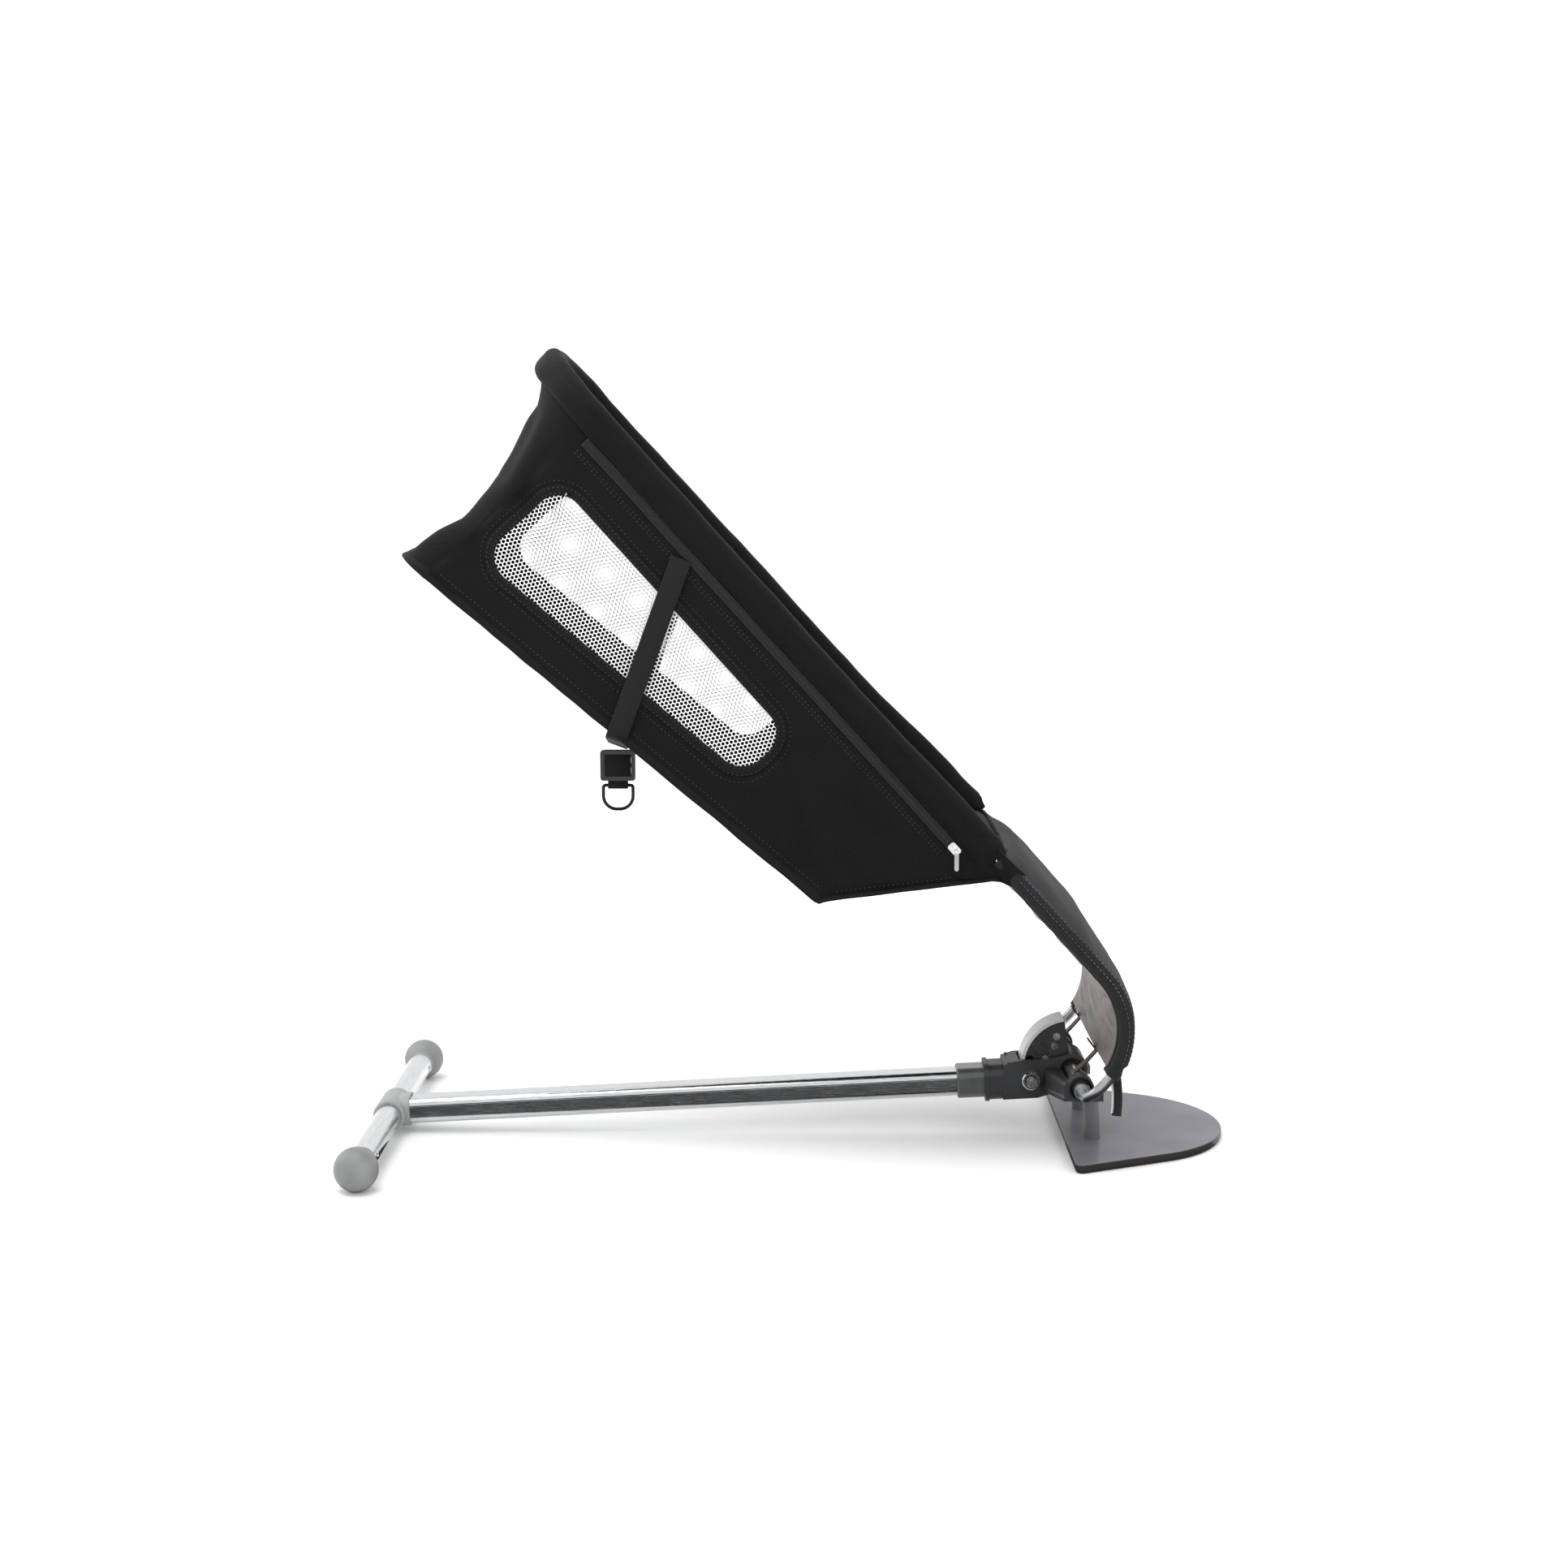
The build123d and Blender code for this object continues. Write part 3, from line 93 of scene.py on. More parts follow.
# Woven synthetic cloth on the piece's own UV map, which is in metres.
def plainCloth(name, dark, light, threadMm, bumpDepth, sheen, roughness, melange=0.0):
    material, shader = startMaterial(name, Roughness=roughness, Sheen_Weight=sheen,
                                     Sheen_Roughness=0.45, Specular_IOR_Level=0.2)
    uv = addNode(material, "ShaderNodeUVMap", {"uv_map": "cloth"})
    cycles = 1 / (threadMm * mm)
    across = addNode(material, "ShaderNodeTexWave", {"bands_direction": "X", "wave_profile": "SIN"},
                     {"Scale": cycles / 20 * pi, "Distortion": 0.6, "Detail": 1.0,
                      "Detail Scale": 2.0}, {"Vector": uv.outputs["UV"]})
    down = addNode(material, "ShaderNodeTexWave", {"bands_direction": "Y", "wave_profile": "SIN"},
                   {"Scale": cycles / 20 * pi, "Distortion": 0.6, "Detail": 1.0,
                    "Detail Scale": 2.0}, {"Vector": uv.outputs["UV"]})
    weave = addNode(material, "ShaderNodeMath", {"operation": "MULTIPLY"},
                    links={0: across.outputs["Fac"], 1: down.outputs["Fac"]})
    slub = addNode(material, "ShaderNodeTexNoise", values={"Scale": 1 / (2.2 * mm), "Detail": 3.0,
                   "Roughness": 0.7}, links={"Vector": uv.outputs["UV"]})
    shade = addNode(material, "ShaderNodeTexNoise", values={"Scale": 1 / (70 * mm), "Detail": 2.0},
                    links={"Vector": uv.outputs["UV"]})
    threads = addNode(material, "ShaderNodeMath", {"operation": "MULTIPLY_ADD"},
                      {1: 0.55 + melange}, {0: slub.outputs["Fac"], 2: weave.outputs["Value"]})
    mixed = addNode(material, "ShaderNodeMath", {"operation": "MULTIPLY_ADD"}, {1: 0.35},
                    {0: shade.outputs["Fac"], 2: threads.outputs["Value"]})
    colour = addNode(material, "ShaderNodeValToRGB", links={"Fac": mixed.outputs["Value"]},
                     stops=[(0.35, dark), (1.0, light)]).outputs[0]
    material.node_tree.links.new(colour, shader.inputs["Base Color"])
    addNode(material, "ShaderNodeBump", values={"Strength": 0.7, "Distance": bumpDepth * mm},
            links={"Height": threads.outputs["Value"]}, into=shader.inputs["Normal"])
    return material


# Moulded or coated surface with a fine grain and slightly uneven gloss, in object space.
def moulded(name, dark, light, roughness, grainMm, grainDepth, coat=0.0, metallic=0.0):
    material, shader = startMaterial(name, Metallic=metallic, Coat_Weight=coat,
                                     Coat_Roughness=0.2)
    place = addNode(material, "ShaderNodeTexCoord")
    grain = addNode(material, "ShaderNodeTexNoise", values={"Scale": 1 / (grainMm * mm),
                    "Detail": 3.0, "Roughness": 0.6}, links={"Vector": place.outputs["Object"]})
    cloud = addNode(material, "ShaderNodeTexNoise", values={"Scale": 1 / (45 * mm), "Detail": 3.0},
                    links={"Vector": place.outputs["Object"]})
    mixed = addNode(material, "ShaderNodeMath", {"operation": "MULTIPLY_ADD"}, {1: 0.35},
                    {0: grain.outputs["Fac"], 2: cloud.outputs["Fac"]})
    colour = addNode(material, "ShaderNodeValToRGB", links={"Fac": mixed.outputs["Value"]},
                     stops=[(0.4, dark), (0.95, light)]).outputs[0]
    material.node_tree.links.new(colour, shader.inputs["Base Color"])
    gloss = addNode(material, "ShaderNodeMapRange", links={"Value": cloud.outputs["Fac"]}, values={
                    "From Min": 0.3, "From Max": 0.7,
                    "To Min": roughness - 0.06, "To Max": roughness + 0.08}).outputs[0]
    material.node_tree.links.new(gloss, shader.inputs["Roughness"])
    addNode(material, "ShaderNodeBump", values={"Strength": 0.5, "Distance": grainDepth * mm},
            links={"Height": grain.outputs["Fac"]}, into=shader.inputs["Normal"])
    return material


# Drawn or brushed metal: its marks are long along one axis, so object space is stretched.
def brushedMetal(name, dark, light, roughness, stretch, grainMm, grainDepth=0.02):
    material, shader = startMaterial(name, Metallic=1.0)
    place = addNode(material, "ShaderNodeTexCoord")
    mapping = addNode(material, "ShaderNodeMapping", values={"Scale": stretch},
                      links={"Vector": place.outputs["Object"]})
    marks = addNode(material, "ShaderNodeTexNoise", values={"Scale": 1 / (grainMm * mm),
                    "Detail": 4.0, "Roughness": 0.65}, links={"Vector": mapping.outputs["Vector"]})
    colour = addNode(material, "ShaderNodeValToRGB", links={"Fac": marks.outputs["Fac"]},
                     stops=[(0.3, dark), (0.7, light)]).outputs[0]
    material.node_tree.links.new(colour, shader.inputs["Base Color"])
    gloss = addNode(material, "ShaderNodeMapRange", links={"Value": marks.outputs["Fac"]}, values={
                    "From Min": 0.3, "From Max": 0.7,
                    "To Min": roughness - 0.05, "To Max": roughness + 0.1}).outputs[0]
    material.node_tree.links.new(gloss, shader.inputs["Roughness"])
    addNode(material, "ShaderNodeBump", values={"Strength": 0.25, "Distance": grainDepth * mm},
            links={"Height": marks.outputs["Fac"]}, into=shader.inputs["Normal"])
    return material


# Narrow woven tape: ribs across its width and a raised thread along each edge.
def webbing(name, dark, light, ribMm, sheen=0.2):
    material, shader = startMaterial(name, Roughness=0.72, Sheen_Weight=sheen,
                                     Specular_IOR_Level=0.35)
    uv = addNode(material, "ShaderNodeUVMap", {"uv_map": "cloth"})
    cycles = 1 / (ribMm * mm)
    ribs = addNode(material, "ShaderNodeTexWave", {"bands_direction": "X"},
                   {"Scale": cycles / 20 * pi, "Distortion": 0.3}, {"Vector": uv.outputs["UV"]})
    warp = addNode(material, "ShaderNodeTexWave", {"bands_direction": "Y"},
                   {"Scale": cycles / 20 * pi * 0.6, "Distortion": 0.3},
                   {"Vector": uv.outputs["UV"]})
    weave = addNode(material, "ShaderNodeMath", {"operation": "MULTIPLY"},
                    links={0: ribs.outputs["Fac"], 1: warp.outputs["Fac"]})
    colour = addNode(material, "ShaderNodeValToRGB", links={"Fac": weave.outputs["Value"]},
                     stops=[(0.0, dark), (0.8, light)]).outputs[0]
    material.node_tree.links.new(colour, shader.inputs["Base Color"])
    addNode(material, "ShaderNodeBump", values={"Strength": 0.8, "Distance": 0.25 * mm},
            links={"Height": weave.outputs["Value"]}, into=shader.inputs["Normal"])
    return material


# Polyester canvas: near black, matt, with a fine plain weave; drawn 1.1 mm so that it shows
bagCloth = plainCloth("polyesterCanvasBlack", "#030304", "#101012", 1.1, 0.35, 0.04, 0.82)
# Same canvas cut as a folded binding: a little denser and glossier
bindingCloth = plainCloth("polyesterBindingBlack", "#030304", "#0d0d0f", 0.9, 0.2, 0.05, 0.7)
# Melange knit: charcoal and grey fibres mixed, soft and matt
coverCloth = plainCloth("melangeKnitCharcoal", "#08090a", "#27282a", 1.3, 0.3, 0.06, 0.9, 0.35)
# Satin lining: fine filament weave, smooth, taupe with a soft shine
liningCloth = plainCloth("satinLiningTaupe", "#463f3c", "#6f6662", 0.8, 0.08, 0.2, 0.45)
# Quilted polyester of the seat pads
padCloth = plainCloth("quiltedPolyesterBlack", "#0b0b0d", "#232327", 1.2, 0.2, 0.3, 0.8)
# Warp-knitted white netting yarn
netCloth, netShader = startMaterial("polyesterNettingWhite", Roughness=0.6, Sheen_Weight=0.2)
netPlace = addNode(netCloth, "ShaderNodeTexCoord")
netNoise = addNode(netCloth, "ShaderNodeTexNoise", values={"Scale": 1 / (0.8 * mm), "Detail": 2.0},
                   links={"Vector": netPlace.outputs["Object"]})
netColour = addNode(netCloth, "ShaderNodeValToRGB", links={"Fac": netNoise.outputs["Fac"]},
                    stops=[(0.25, "#dcdcdc"), (0.75, "#ffffff")]).outputs[0]
netCloth.node_tree.links.new(netColour, netShader.inputs["Base Color"])
addNode(netCloth, "ShaderNodeBump", values={"Strength": 0.4, "Distance": 0.1 * mm},
        links={"Height": netNoise.outputs["Fac"]}, into=netShader.inputs["Normal"])
blackWebbing = webbing("polypropyleneWebbingBlack", "#020203", "#0a0a0b", 1.0, 0.03)
brownWebbing = webbing("polyesterTapeBrown", "#33261f", "#6b5347", 1.3)
zipTapeCloth = webbing("zipTapeBlack", "#060607", "#17171a", 0.9)
sewingThread = moulded("sewingThreadBlack", "#111113", "#2c2c30", 0.6, 0.4, 0.05)
greyThread = moulded("sewingThreadGrey", "#2c2c2e", "#6a6a6c", 0.6, 0.4, 0.05)
# Vulcanised rubber: matt mid grey with a faint bloom
footRubber = moulded("mattRubberGrey", "#737475", "#969797", 0.5, 0.6, 0.04)
soleRubber = moulded("rubberSoleBrownBlack", "#171314", "#2c2526", 0.6, 0.6, 0.08)
# Glass-filled nylon of the yoke: dark, fine spark grain
yokeNylon = moulded("glassNylonDark", "#222325", "#3c3d40", 0.45, 0.5, 0.05)
jointNylon = moulded("nylonMidGrey", "#848686", "#a6a8a8", 0.48, 0.6, 0.04)
ferruleAbs = moulded("absFerruleGrey", "#434645", "#5f6261", 0.3, 0.7, 0.02, coat=0.3)
acetalBlack = moulded("acetalBlack", "#060607", "#151517", 0.32, 0.6, 0.02, coat=0.2)
plugBlack = moulded("polypropyleneBlack", "#141416", "#2a2a2c", 0.42, 0.6, 0.03)
# Zinc-plated and chromed steel
brightSteel = brushedMetal("zincPlatedSteel", "#a9abad", "#e2e3e4", 0.24, (1, 1, 1), 0.7)
chromeSteel = brushedMetal("chromedSteel", "#c4c6c8", "#f2f3f4", 0.12, (1, 1, 1), 1.5, 0.005)
rodSteel = brushedMetal("springSteelPlated", "#8d9092", "#c5c8c9", 0.3, (1, 1, 1), 0.8)
ringSteel = brushedMetal("blackNickelSteel", "#1c1d1f", "#3c3d40", 0.22, (1, 1, 1), 0.8)
# Drawn and anodised aluminium: marks run along the rail
railAluminium = brushedMetal("anodisedAluminiumRail", "#b0b3b5", "#dfe1e2", 0.2, (0.02, 1, 1), 0.5)
barAluminium = brushedMetal("anodisedAluminiumBar", "#b9bcbe", "#e6e8e9", 0.2, (1, 0.02, 1), 0.5)
# Powder coat on the posts: semi-matt with a light orange-peel
postPaint = moulded("powderCoatGrey", "#4f5254", "#6c6f71", 0.4, 1.4, 0.05, coat=0.15)

# Translucent polypropylene cover on the sector's rim
rimPlastic = moulded("polypropyleneNaturalGrey", "#b4b7b7", "#dcdfdf", 0.36, 0.8, 0.03)
rimShader = rimPlastic.node_tree.nodes["Principled BSDF"]
rimShader.inputs["Subsurface Weight"].default_value = 0.3
rimShader.inputs["Subsurface Scale"].default_value = 3 * mm

# Powder-coated steel plate: purple-grey on top; its side faces are painted dark brown-grey as painted
# shade
platePaint, plateShader = startMaterial("powderCoatPurpleGrey", Coat_Weight=0.1)
platePlace = addNode(platePaint, "ShaderNodeTexCoord")
plateGrain = addNode(platePaint, "ShaderNodeTexNoise", values={"Scale": 1 / (1.2 * mm),
                     "Detail": 3.0}, links={"Vector": platePlace.outputs["Object"]})
plateCloud = addNode(platePaint, "ShaderNodeTexNoise", values={"Scale": 1 / (60 * mm),
                     "Detail": 3.0}, links={"Vector": platePlace.outputs["Object"]})
plateTop = addNode(platePaint, "ShaderNodeValToRGB", links={"Fac": plateCloud.outputs["Fac"]},
                   stops=[(0.3, "#65636b"), (0.7, "#75737b")]).outputs[0]
plateWay = addNode(platePaint, "ShaderNodeSeparateXYZ", links={0: platePlace.outputs["Normal"]})
# mask by facing for the painted shade: 1 on the upward faces, falling to 0 on the side faces
platePaintedShadeMask = addNode(platePaint, "ShaderNodeMapRange", links={"Value": plateWay.outputs["Z"]}, values={
                  "From Min": 0.45, "From Max": 0.9,
                  "To Min": 0.0, "To Max": 1.0}).outputs[0]
# painted shade: the side faces take the dark #2b2425 in place of the plate's own colour
plateColourWithPaintedShade = addNode(platePaint, "ShaderNodeMix", {"data_type": "RGBA"},
                   {6: linear("#2b2425")}, {0: platePaintedShadeMask, 7: plateTop})
platePaint.node_tree.links.new(plateColourWithPaintedShade.outputs[2], plateShader.inputs["Base Color"])
plateGloss = addNode(platePaint, "ShaderNodeMapRange", links={"Value": plateGrain.outputs["Fac"]}, values={
                     "From Min": 0.3, "From Max": 0.7,
                     "To Min": 0.42, "To Max": 0.56}).outputs[0]
platePaint.node_tree.links.new(plateGloss, plateShader.inputs["Roughness"])
addNode(platePaint, "ShaderNodeBump", values={"Strength": 0.3, "Distance": 0.05 * mm},
        links={"Height": plateGrain.outputs["Fac"]}, into=plateShader.inputs["Normal"])

finishes = {
    "ball_foot_left": footRubber, "ball_foot_right": footRubber, "foot_plugs": jointNylon,
    "crossbar_tube": barAluminium, "crossbar_rivets": brightSteel, "t_joint": jointNylon,
    "main_rail": railAluminium, "rail_ferrule": ferruleAbs, "yoke_housing": yokeNylon,
    "lock_ring": chromeSteel, "lock_button": brightSteel, "axle_bushes": acetalBlack,
    "post_left": postPaint, "post_right": postPaint, "foot_plate": platePaint,
    "plate_sole": soleRubber, "post_screws": brightSteel, "cross_axle": brightSteel,
    "axle_clips": ringSteel, "sector_plate_left": yokeNylon, "sector_plate_right": yokeNylon,
    "sector_hub": yokeNylon, "sector_rim": rimPlastic, "sector_spacers": brightSteel,
    "sector_screws": chromeSteel, "side_rod_left": rodSteel, "side_rod_right": rodSteel,
    "rod_couplers": brightSteel, "upper_bow": rodSteel, "back_board": plugBlack,
    "seat_board": plugBlack, "zip_slider_left": chromeSteel, "zip_slider_right": chromeSteel,
    "zip_puller_left": rodSteel, "zip_puller_right": rodSteel,
    "strap_adjuster": acetalBlack, "d_ring": ringSteel, "buckle_body": acetalBlack,
    "buckle_tongues": acetalBlack, "buckle_button": ferruleAbs,
}
for nodeName, finish in finishes.items():
    setMaterial(nodes[nodeName], finish)
print("materials made:", len(bpy.data.materials))


# The seat's own directions: t runs up the rods, d runs down from them, both in millimetres

seatFrame = {"axle": (271.0, 68.6), "slope": 47.6, "lowerRun": 18.0, "bend": 76.0,
             "halfSpacing": 135.0, "headHalf": 93.0, "knee": 133.0, "length": 765.0,
             "headBend": 84.0}
slope = radians(seatFrame["slope"])
along = Vector((-cos(slope), 0, sin(slope)))
out = Vector((sin(slope), 0, cos(slope)))
bendStart = Vector((seatFrame["axle"][0], 0, seatFrame["axle"][1])) + Vector(
    (cos(pi / 4), 0, sin(pi / 4))) * seatFrame["lowerRun"]
bendCentre = bendStart + Vector((-sin(pi / 4), 0, cos(pi / 4))) * seatFrame["bend"]
legTop = 90 - seatFrame["slope"]
seatOrigin = bendCentre + out * seatFrame["bend"]
taper = atan2(seatFrame["halfSpacing"] - seatFrame["headHalf"],
              seatFrame["length"] - seatFrame["knee"])


def halfWidth(t):
    return seatFrame["halfSpacing"] - max(0, t - seatFrame["knee"]) * tan(taper)


def seatPoint(t, d, y=0.0):
    return (seatOrigin + along * t - out * d + Vector((0, y, 0))) * mm


def smooth(x):
    x = min(1, max(0, x))
    return x * x * (3 - 2 * x)


# Straight-line reading of a table of (x, value).
def between(x, table):
    if x <= table[0][0]:
        return table[0][1]
    for (x0, a), (x1, b) in zip(table, table[1:]):
        if x <= x1:
            return a + (b - a) * (x - x0) / (x1 - x0)
    return table[-1][1]


def ripple(x, y, z, size, seed=0.0):
    return noise.noise(Vector((x / size + seed, y / size - seed, z / size + 0.37 * seed)))


# Mesh makers for cloth

def finishMesh(name, verts, faces, uvs, material, smoothShade=True):
    mesh = bpy.data.meshes.new(name)
    mesh.from_pydata([tuple(v) for v in verts], [], faces)
    layer = mesh.uv_layers.new(name="cloth")
    for loop in mesh.loops:
        layer.data[loop.index].uv = uvs[loop.vertex_index]
    if smoothShade:
        mesh.polygons.foreach_set("use_smooth", [True] * len(mesh.polygons))
    mesh.update()
    piece = bpy.data.objects.new(name, mesh)
    bpy.context.scene.collection.objects.link(piece)
    piece.data.materials.append(material)
    return piece


# A sheet from rows of points, with its UV map in metres, given a thickness.
def sheetGrid(name, rows, material, thickness, offset=0.0, keep=None, closed=False, level=0):
    count = len(rows[0])
    verts, uvs = [], []
    lengthDown = [0.0] * count
    for r, row in enumerate(rows):
        run = 0.0
        for c, point in enumerate(row):
            if c:
                run += (point - row[c - 1]).length
            if r:
                lengthDown[c] += (point - rows[r - 1][c]).length
            verts.append(point)
            uvs.append((run, lengthDown[c]))
    faces = []
    for r in range(len(rows) - 1):
        for c in range(count if closed else count - 1):
            n = (c + 1) % count
            if keep is None or keep(r, c):
                faces.append((r * count + c, r * count + n, (r + 1) * count + n,
                              (r + 1) * count + c))
    piece = finishMesh(name, verts, faces, uvs, material)
    dropLoose(piece)
    if thickness:
        applyModifier(piece, "SOLIDIFY", thickness=thickness * mm, offset=offset)
    if level:
        applyModifier(piece, "SUBSURF", levels=level, render_levels=level)
    return piece


def dropLoose(piece):
    work = bmesh.new()
    work.from_mesh(piece.data)
    bmesh.ops.delete(work, geom=[v for v in work.verts if not v.link_faces], context="VERTS")
    work.to_mesh(piece.data)
    work.free()


def faceOut(piece):
    work = bmesh.new()
    work.from_mesh(piece.data)
    bmesh.ops.remove_doubles(work, verts=work.verts, dist=1e-6)
    bmesh.ops.recalc_face_normals(work, faces=work.faces)
    work.to_mesh(piece.data)
    work.free()


def applyModifier(piece, kind, **settings):
    modifier = piece.modifiers.new(kind.lower(), kind)
    for key, value in settings.items():
        setattr(modifier, key, value)
    bpy.ops.object.select_all(action="DESELECT")
    bpy.context.view_layer.objects.active = piece
    piece.select_set(True)
    bpy.ops.object.modifier_apply(modifier=modifier.name)
    piece.select_set(False)


# A closed skin from one outline carried along frames of (centre, side, rise).
# profile is one outline, or a function of the frame's number and the run in metres.
def sweepPiece(name, frames, profile, material, closed=False, smoothShade=True):
    verts, uvs, faces = [], [], []
    run = 0.0
    shapes = []
    for i, (centre, side, rise) in enumerate(frames):
        if i:
            run += (centre - frames[i - 1][0]).length
        shape = profile(i, run) if callable(profile) else profile
        shapes.append(len(shape))
        girth = 0.0
        for j, (a, b) in enumerate(shape):
            if j:
                girth += hypot(a - shape[j - 1][0], b - shape[j - 1][1]) * mm
            verts.append(centre + side * (a * mm) + rise * (b * mm))
            uvs.append((run, girth))
    count = shapes[0]
    last = len(frames) if closed else len(frames) - 1
    for i in range(last):
        k = (i + 1) % len(frames)
        for j in range(count):
            n = (j + 1) % count
            faces.append((i * count + j, k * count + j, k * count + n, i * count + n))
    if not closed:
        faces.append(tuple(range(count - 1, -1, -1)))
        faces.append(tuple((len(frames) - 1) * count + j for j in range(count)))
    piece = finishMesh(name, verts, faces, uvs, material, smoothShade)
    work = bmesh.new()
    work.from_mesh(piece.data)
    bmesh.ops.recalc_face_normals(work, faces=work.faces)
    work.to_mesh(piece.data)
    work.free()
    return piece


# Outline of a flat bar with rounded edges.
def roundedBar(halfWide, halfHigh, corner=0.5, steps=2):
    points = []
    for quadrant, (sx, sy) in enumerate(((1, 1), (-1, 1), (-1, -1), (1, -1))):
        for step in range(steps + 1):
            angle = quadrant * pi / 2 + step * pi / 2 / steps
            points.append((sx * (halfWide - corner) + corner * cos(angle),
                           sy * (halfHigh - corner) + corner * sin(angle)))
    return points


# Points along straight runs and tangent arcs; corners are Vectors in millimetres.
def filletPath(corners, radii, step=4.0, closed=False):
    count = len(corners)
    pieces = []
    for i, corner in enumerate(corners):
        if not closed and i in (0, count - 1):
            pieces.append([corner])
            continue
        before = (corners[i - 1] - corner).normalized()
        after = (corners[(i + 1) % count] - corner).normalized()
        half = before.angle(after) / 2
        radius = radii[i] if closed else radii[i - 1]
        reach = radius / tan(half)
        middle = corner + (before + after).normalized() * (radius / sin(half))
        start, end = corner + before * reach - middle, corner + after * reach - middle
        turns = max(3, ceil(start.angle(end) * radius / step))
        arc = []
        for k in range(turns + 1):
            arc.append(middle + start.slerp(end, k / turns).normalized() * radius)
        pieces.append(arc)
    points = []
    if closed:
        pieces.append([pieces[0][0]])
    for piece in pieces:
        if points:
            gap = piece[0] - points[-1]
            spans = max(1, ceil(gap.length / step))
            points += [points[-1] + gap * (k / spans) for k in range(1, spans)]
        points += [p for p in piece if not points or (p - points[-1]).length > 1e-4]
    if closed and (points[0] - points[-1]).length < 1e-3:
        points.pop()
    return points


# Frames along points in metres; rise is one vector or one for each point.
def pathFrames(points, rise, closed=False):
    frames = []
    count = len(points)
    for i, point in enumerate(points):
        ahead = points[(i + 1) % count] if closed or i < count - 1 else point
        behind = points[i - 1] if closed or i else point
        forward = (ahead - behind).normalized()
        up = rise[i] if isinstance(rise, list) else rise
        side = forward.cross(up).normalized()
        frames.append((point, side, side.cross(forward).normalized()))
    return frames


# Rows of short raised stitches; each row is a list of (point, normal) in metres.
def stitches(name, rows, material, length=2.6, gap=1.8, wide=0.45, high=0.35):
    verts, faces, uvs = [], [], []
    for row in rows:
        runs = [0.0]
        for (a, _), (b, _) in zip(row, row[1:]):
            runs.append(runs[-1] + (b - a).length)
        at = 0.0
        k = 0
        while at + length * mm < runs[-1]:
            ends = []
            for target in (at, at + length * mm):
                while k < len(runs) - 2 and runs[k + 1] < target:
                    k += 1
                share = (target - runs[k]) / max(1e-9, runs[k + 1] - runs[k])
                ends.append((row[k][0].lerp(row[k + 1][0], share),
                             row[k][1].lerp(row[k + 1][1], share).normalized()))
            (p0, n0), (p1, n1) = ends
            forward = (p1 - p0).normalized()
            side = forward.cross(n0).normalized() * (wide * mm)
            middle = (p0 + p1) / 2 + n0 * (high * mm)
            base = len(verts)
            low = n0 * (-0.3 * mm)
            quarter = (p1 - p0) * 0.28
            verts += [p0 + low, middle - quarter + side, middle - quarter - side,
                      middle + quarter + side, middle + quarter - side, p1 + low,
                      (p0 + p1) / 2 + n0 * (-0.6 * mm)]
            faces += [(base, base + 1, base + 2), (base + 1, base + 3, base + 4, base + 2),
                      (base + 3, base + 5, base + 4), (base, base + 6, base + 1),
                      (base + 1, base + 6, base + 3), (base + 3, base + 6, base + 5),
                      (base, base + 2, base + 6), (base + 2, base + 4, base + 6),
                      (base + 4, base + 5, base + 6)]
            uvs += [(at, 0)] * 7
            at += (length + gap) * mm
            k = max(0, k - 1)
    piece = finishMesh(name, verts, faces, uvs, material)
    work = bmesh.new()
    work.from_mesh(piece.data)
    bmesh.ops.recalc_face_normals(work, faces=work.faces)
    work.to_mesh(piece.data)
    work.free()
    return piece


# Bucket wall: one shell from the right side, round the head, to the left side

bucket = {
    "frontAlong": 137.0, "frontDepth": 10.0, "cornerAlong": 232.0, "cornerDepth": 146.0,
    "headAlong": 722.0, "headDepth": 216.0, "sideEnd": 690.0, "topDepth": 12.0,
    "firstColumn": 141.0, "step": 4.5, "rows": 44, "clothThickness": 1.6,
    "headReach": [(12, 763), (22, 751), (34, 741), (65, 729), (105, 716), (155, 710), (190, 716),
                  (207, 721), (216, 723)],
    "crease": ((362, 82), (242, 141)), "creaseDepth": 3.2, "creaseWidth": 9.0,
}


def bottomDepth(t):
    b = bucket
    if t < b["cornerAlong"]:
        share = (t - b["frontAlong"]) / (b["cornerAlong"] - b["frontAlong"])
        return b["frontDepth"] + share * (b["cornerDepth"] - b["frontDepth"])
    rise = (b["headDepth"] - b["cornerDepth"]) / (b["headAlong"] - b["cornerAlong"])
    return b["cornerDepth"] + (t - b["cornerAlong"]) * rise


def creaseShare(t, d):
    (t0, d0), (t1, d1) = bucket["crease"]
    run = hypot(t1 - t0, d1 - d0)
    s = ((t - t0) * (t1 - t0) + (d - d0) * (d1 - d0)) / run
    off = ((t - t0) * (d1 - d0) - (d - d0) * (t1 - t0)) / run
    ends = smooth((s + 30) / 60) * smooth((run + 20 - s) / 40)
    return ends, off


# How far the side wall stands out from its flat cut, in millimetres.
def sideBulge(t, d, side):
    low = bottomDepth(t)
    share = min(1, max(0, (d - 20) / max(1, low - 20)))
    edge = smooth((d - 30) / 22) * smooth((low - d) / 16)
    ends, off = creaseShare(t, d)
    crease = -bucket["creaseDepth"] * (2.7 ** (-(off / bucket["creaseWidth"]) ** 2)) * ends
    front = 2.4 * sin(pi * share) * smooth((360 - t) / 60) * smooth((t - 150) / 50)
    ridge = 1 - 2.4 * abs(ripple(t + d * 0.6, d * 1.3, side * 40, 70, 3.1))
    soft = 2.6 * ridge + 1.5 * ripple(t, d * 1.6, side * 20, 34, 7.7)
    head = smooth((t - 625) / 40)
    folds = head * (3.6 * sin((t * 0.55 + d) / 11.0 + side) + 2.0 * ripple(t, d, side, 22, 1.3))
    nearWindow = 1 - 0.85 * smooth((t - 345) / 20) * smooth((700 - t) / 30)
    value = edge * (crease + front + (soft + folds) * (nearWindow if t < 660 else 1))
    return max(-4.5, min(2.3 if 380 < t < 600 else 5.0, value))


def headCorner(d):
    reach = between(d, bucket["headReach"])
    return reach, max(18.0, reach - bucket["sideEnd"])


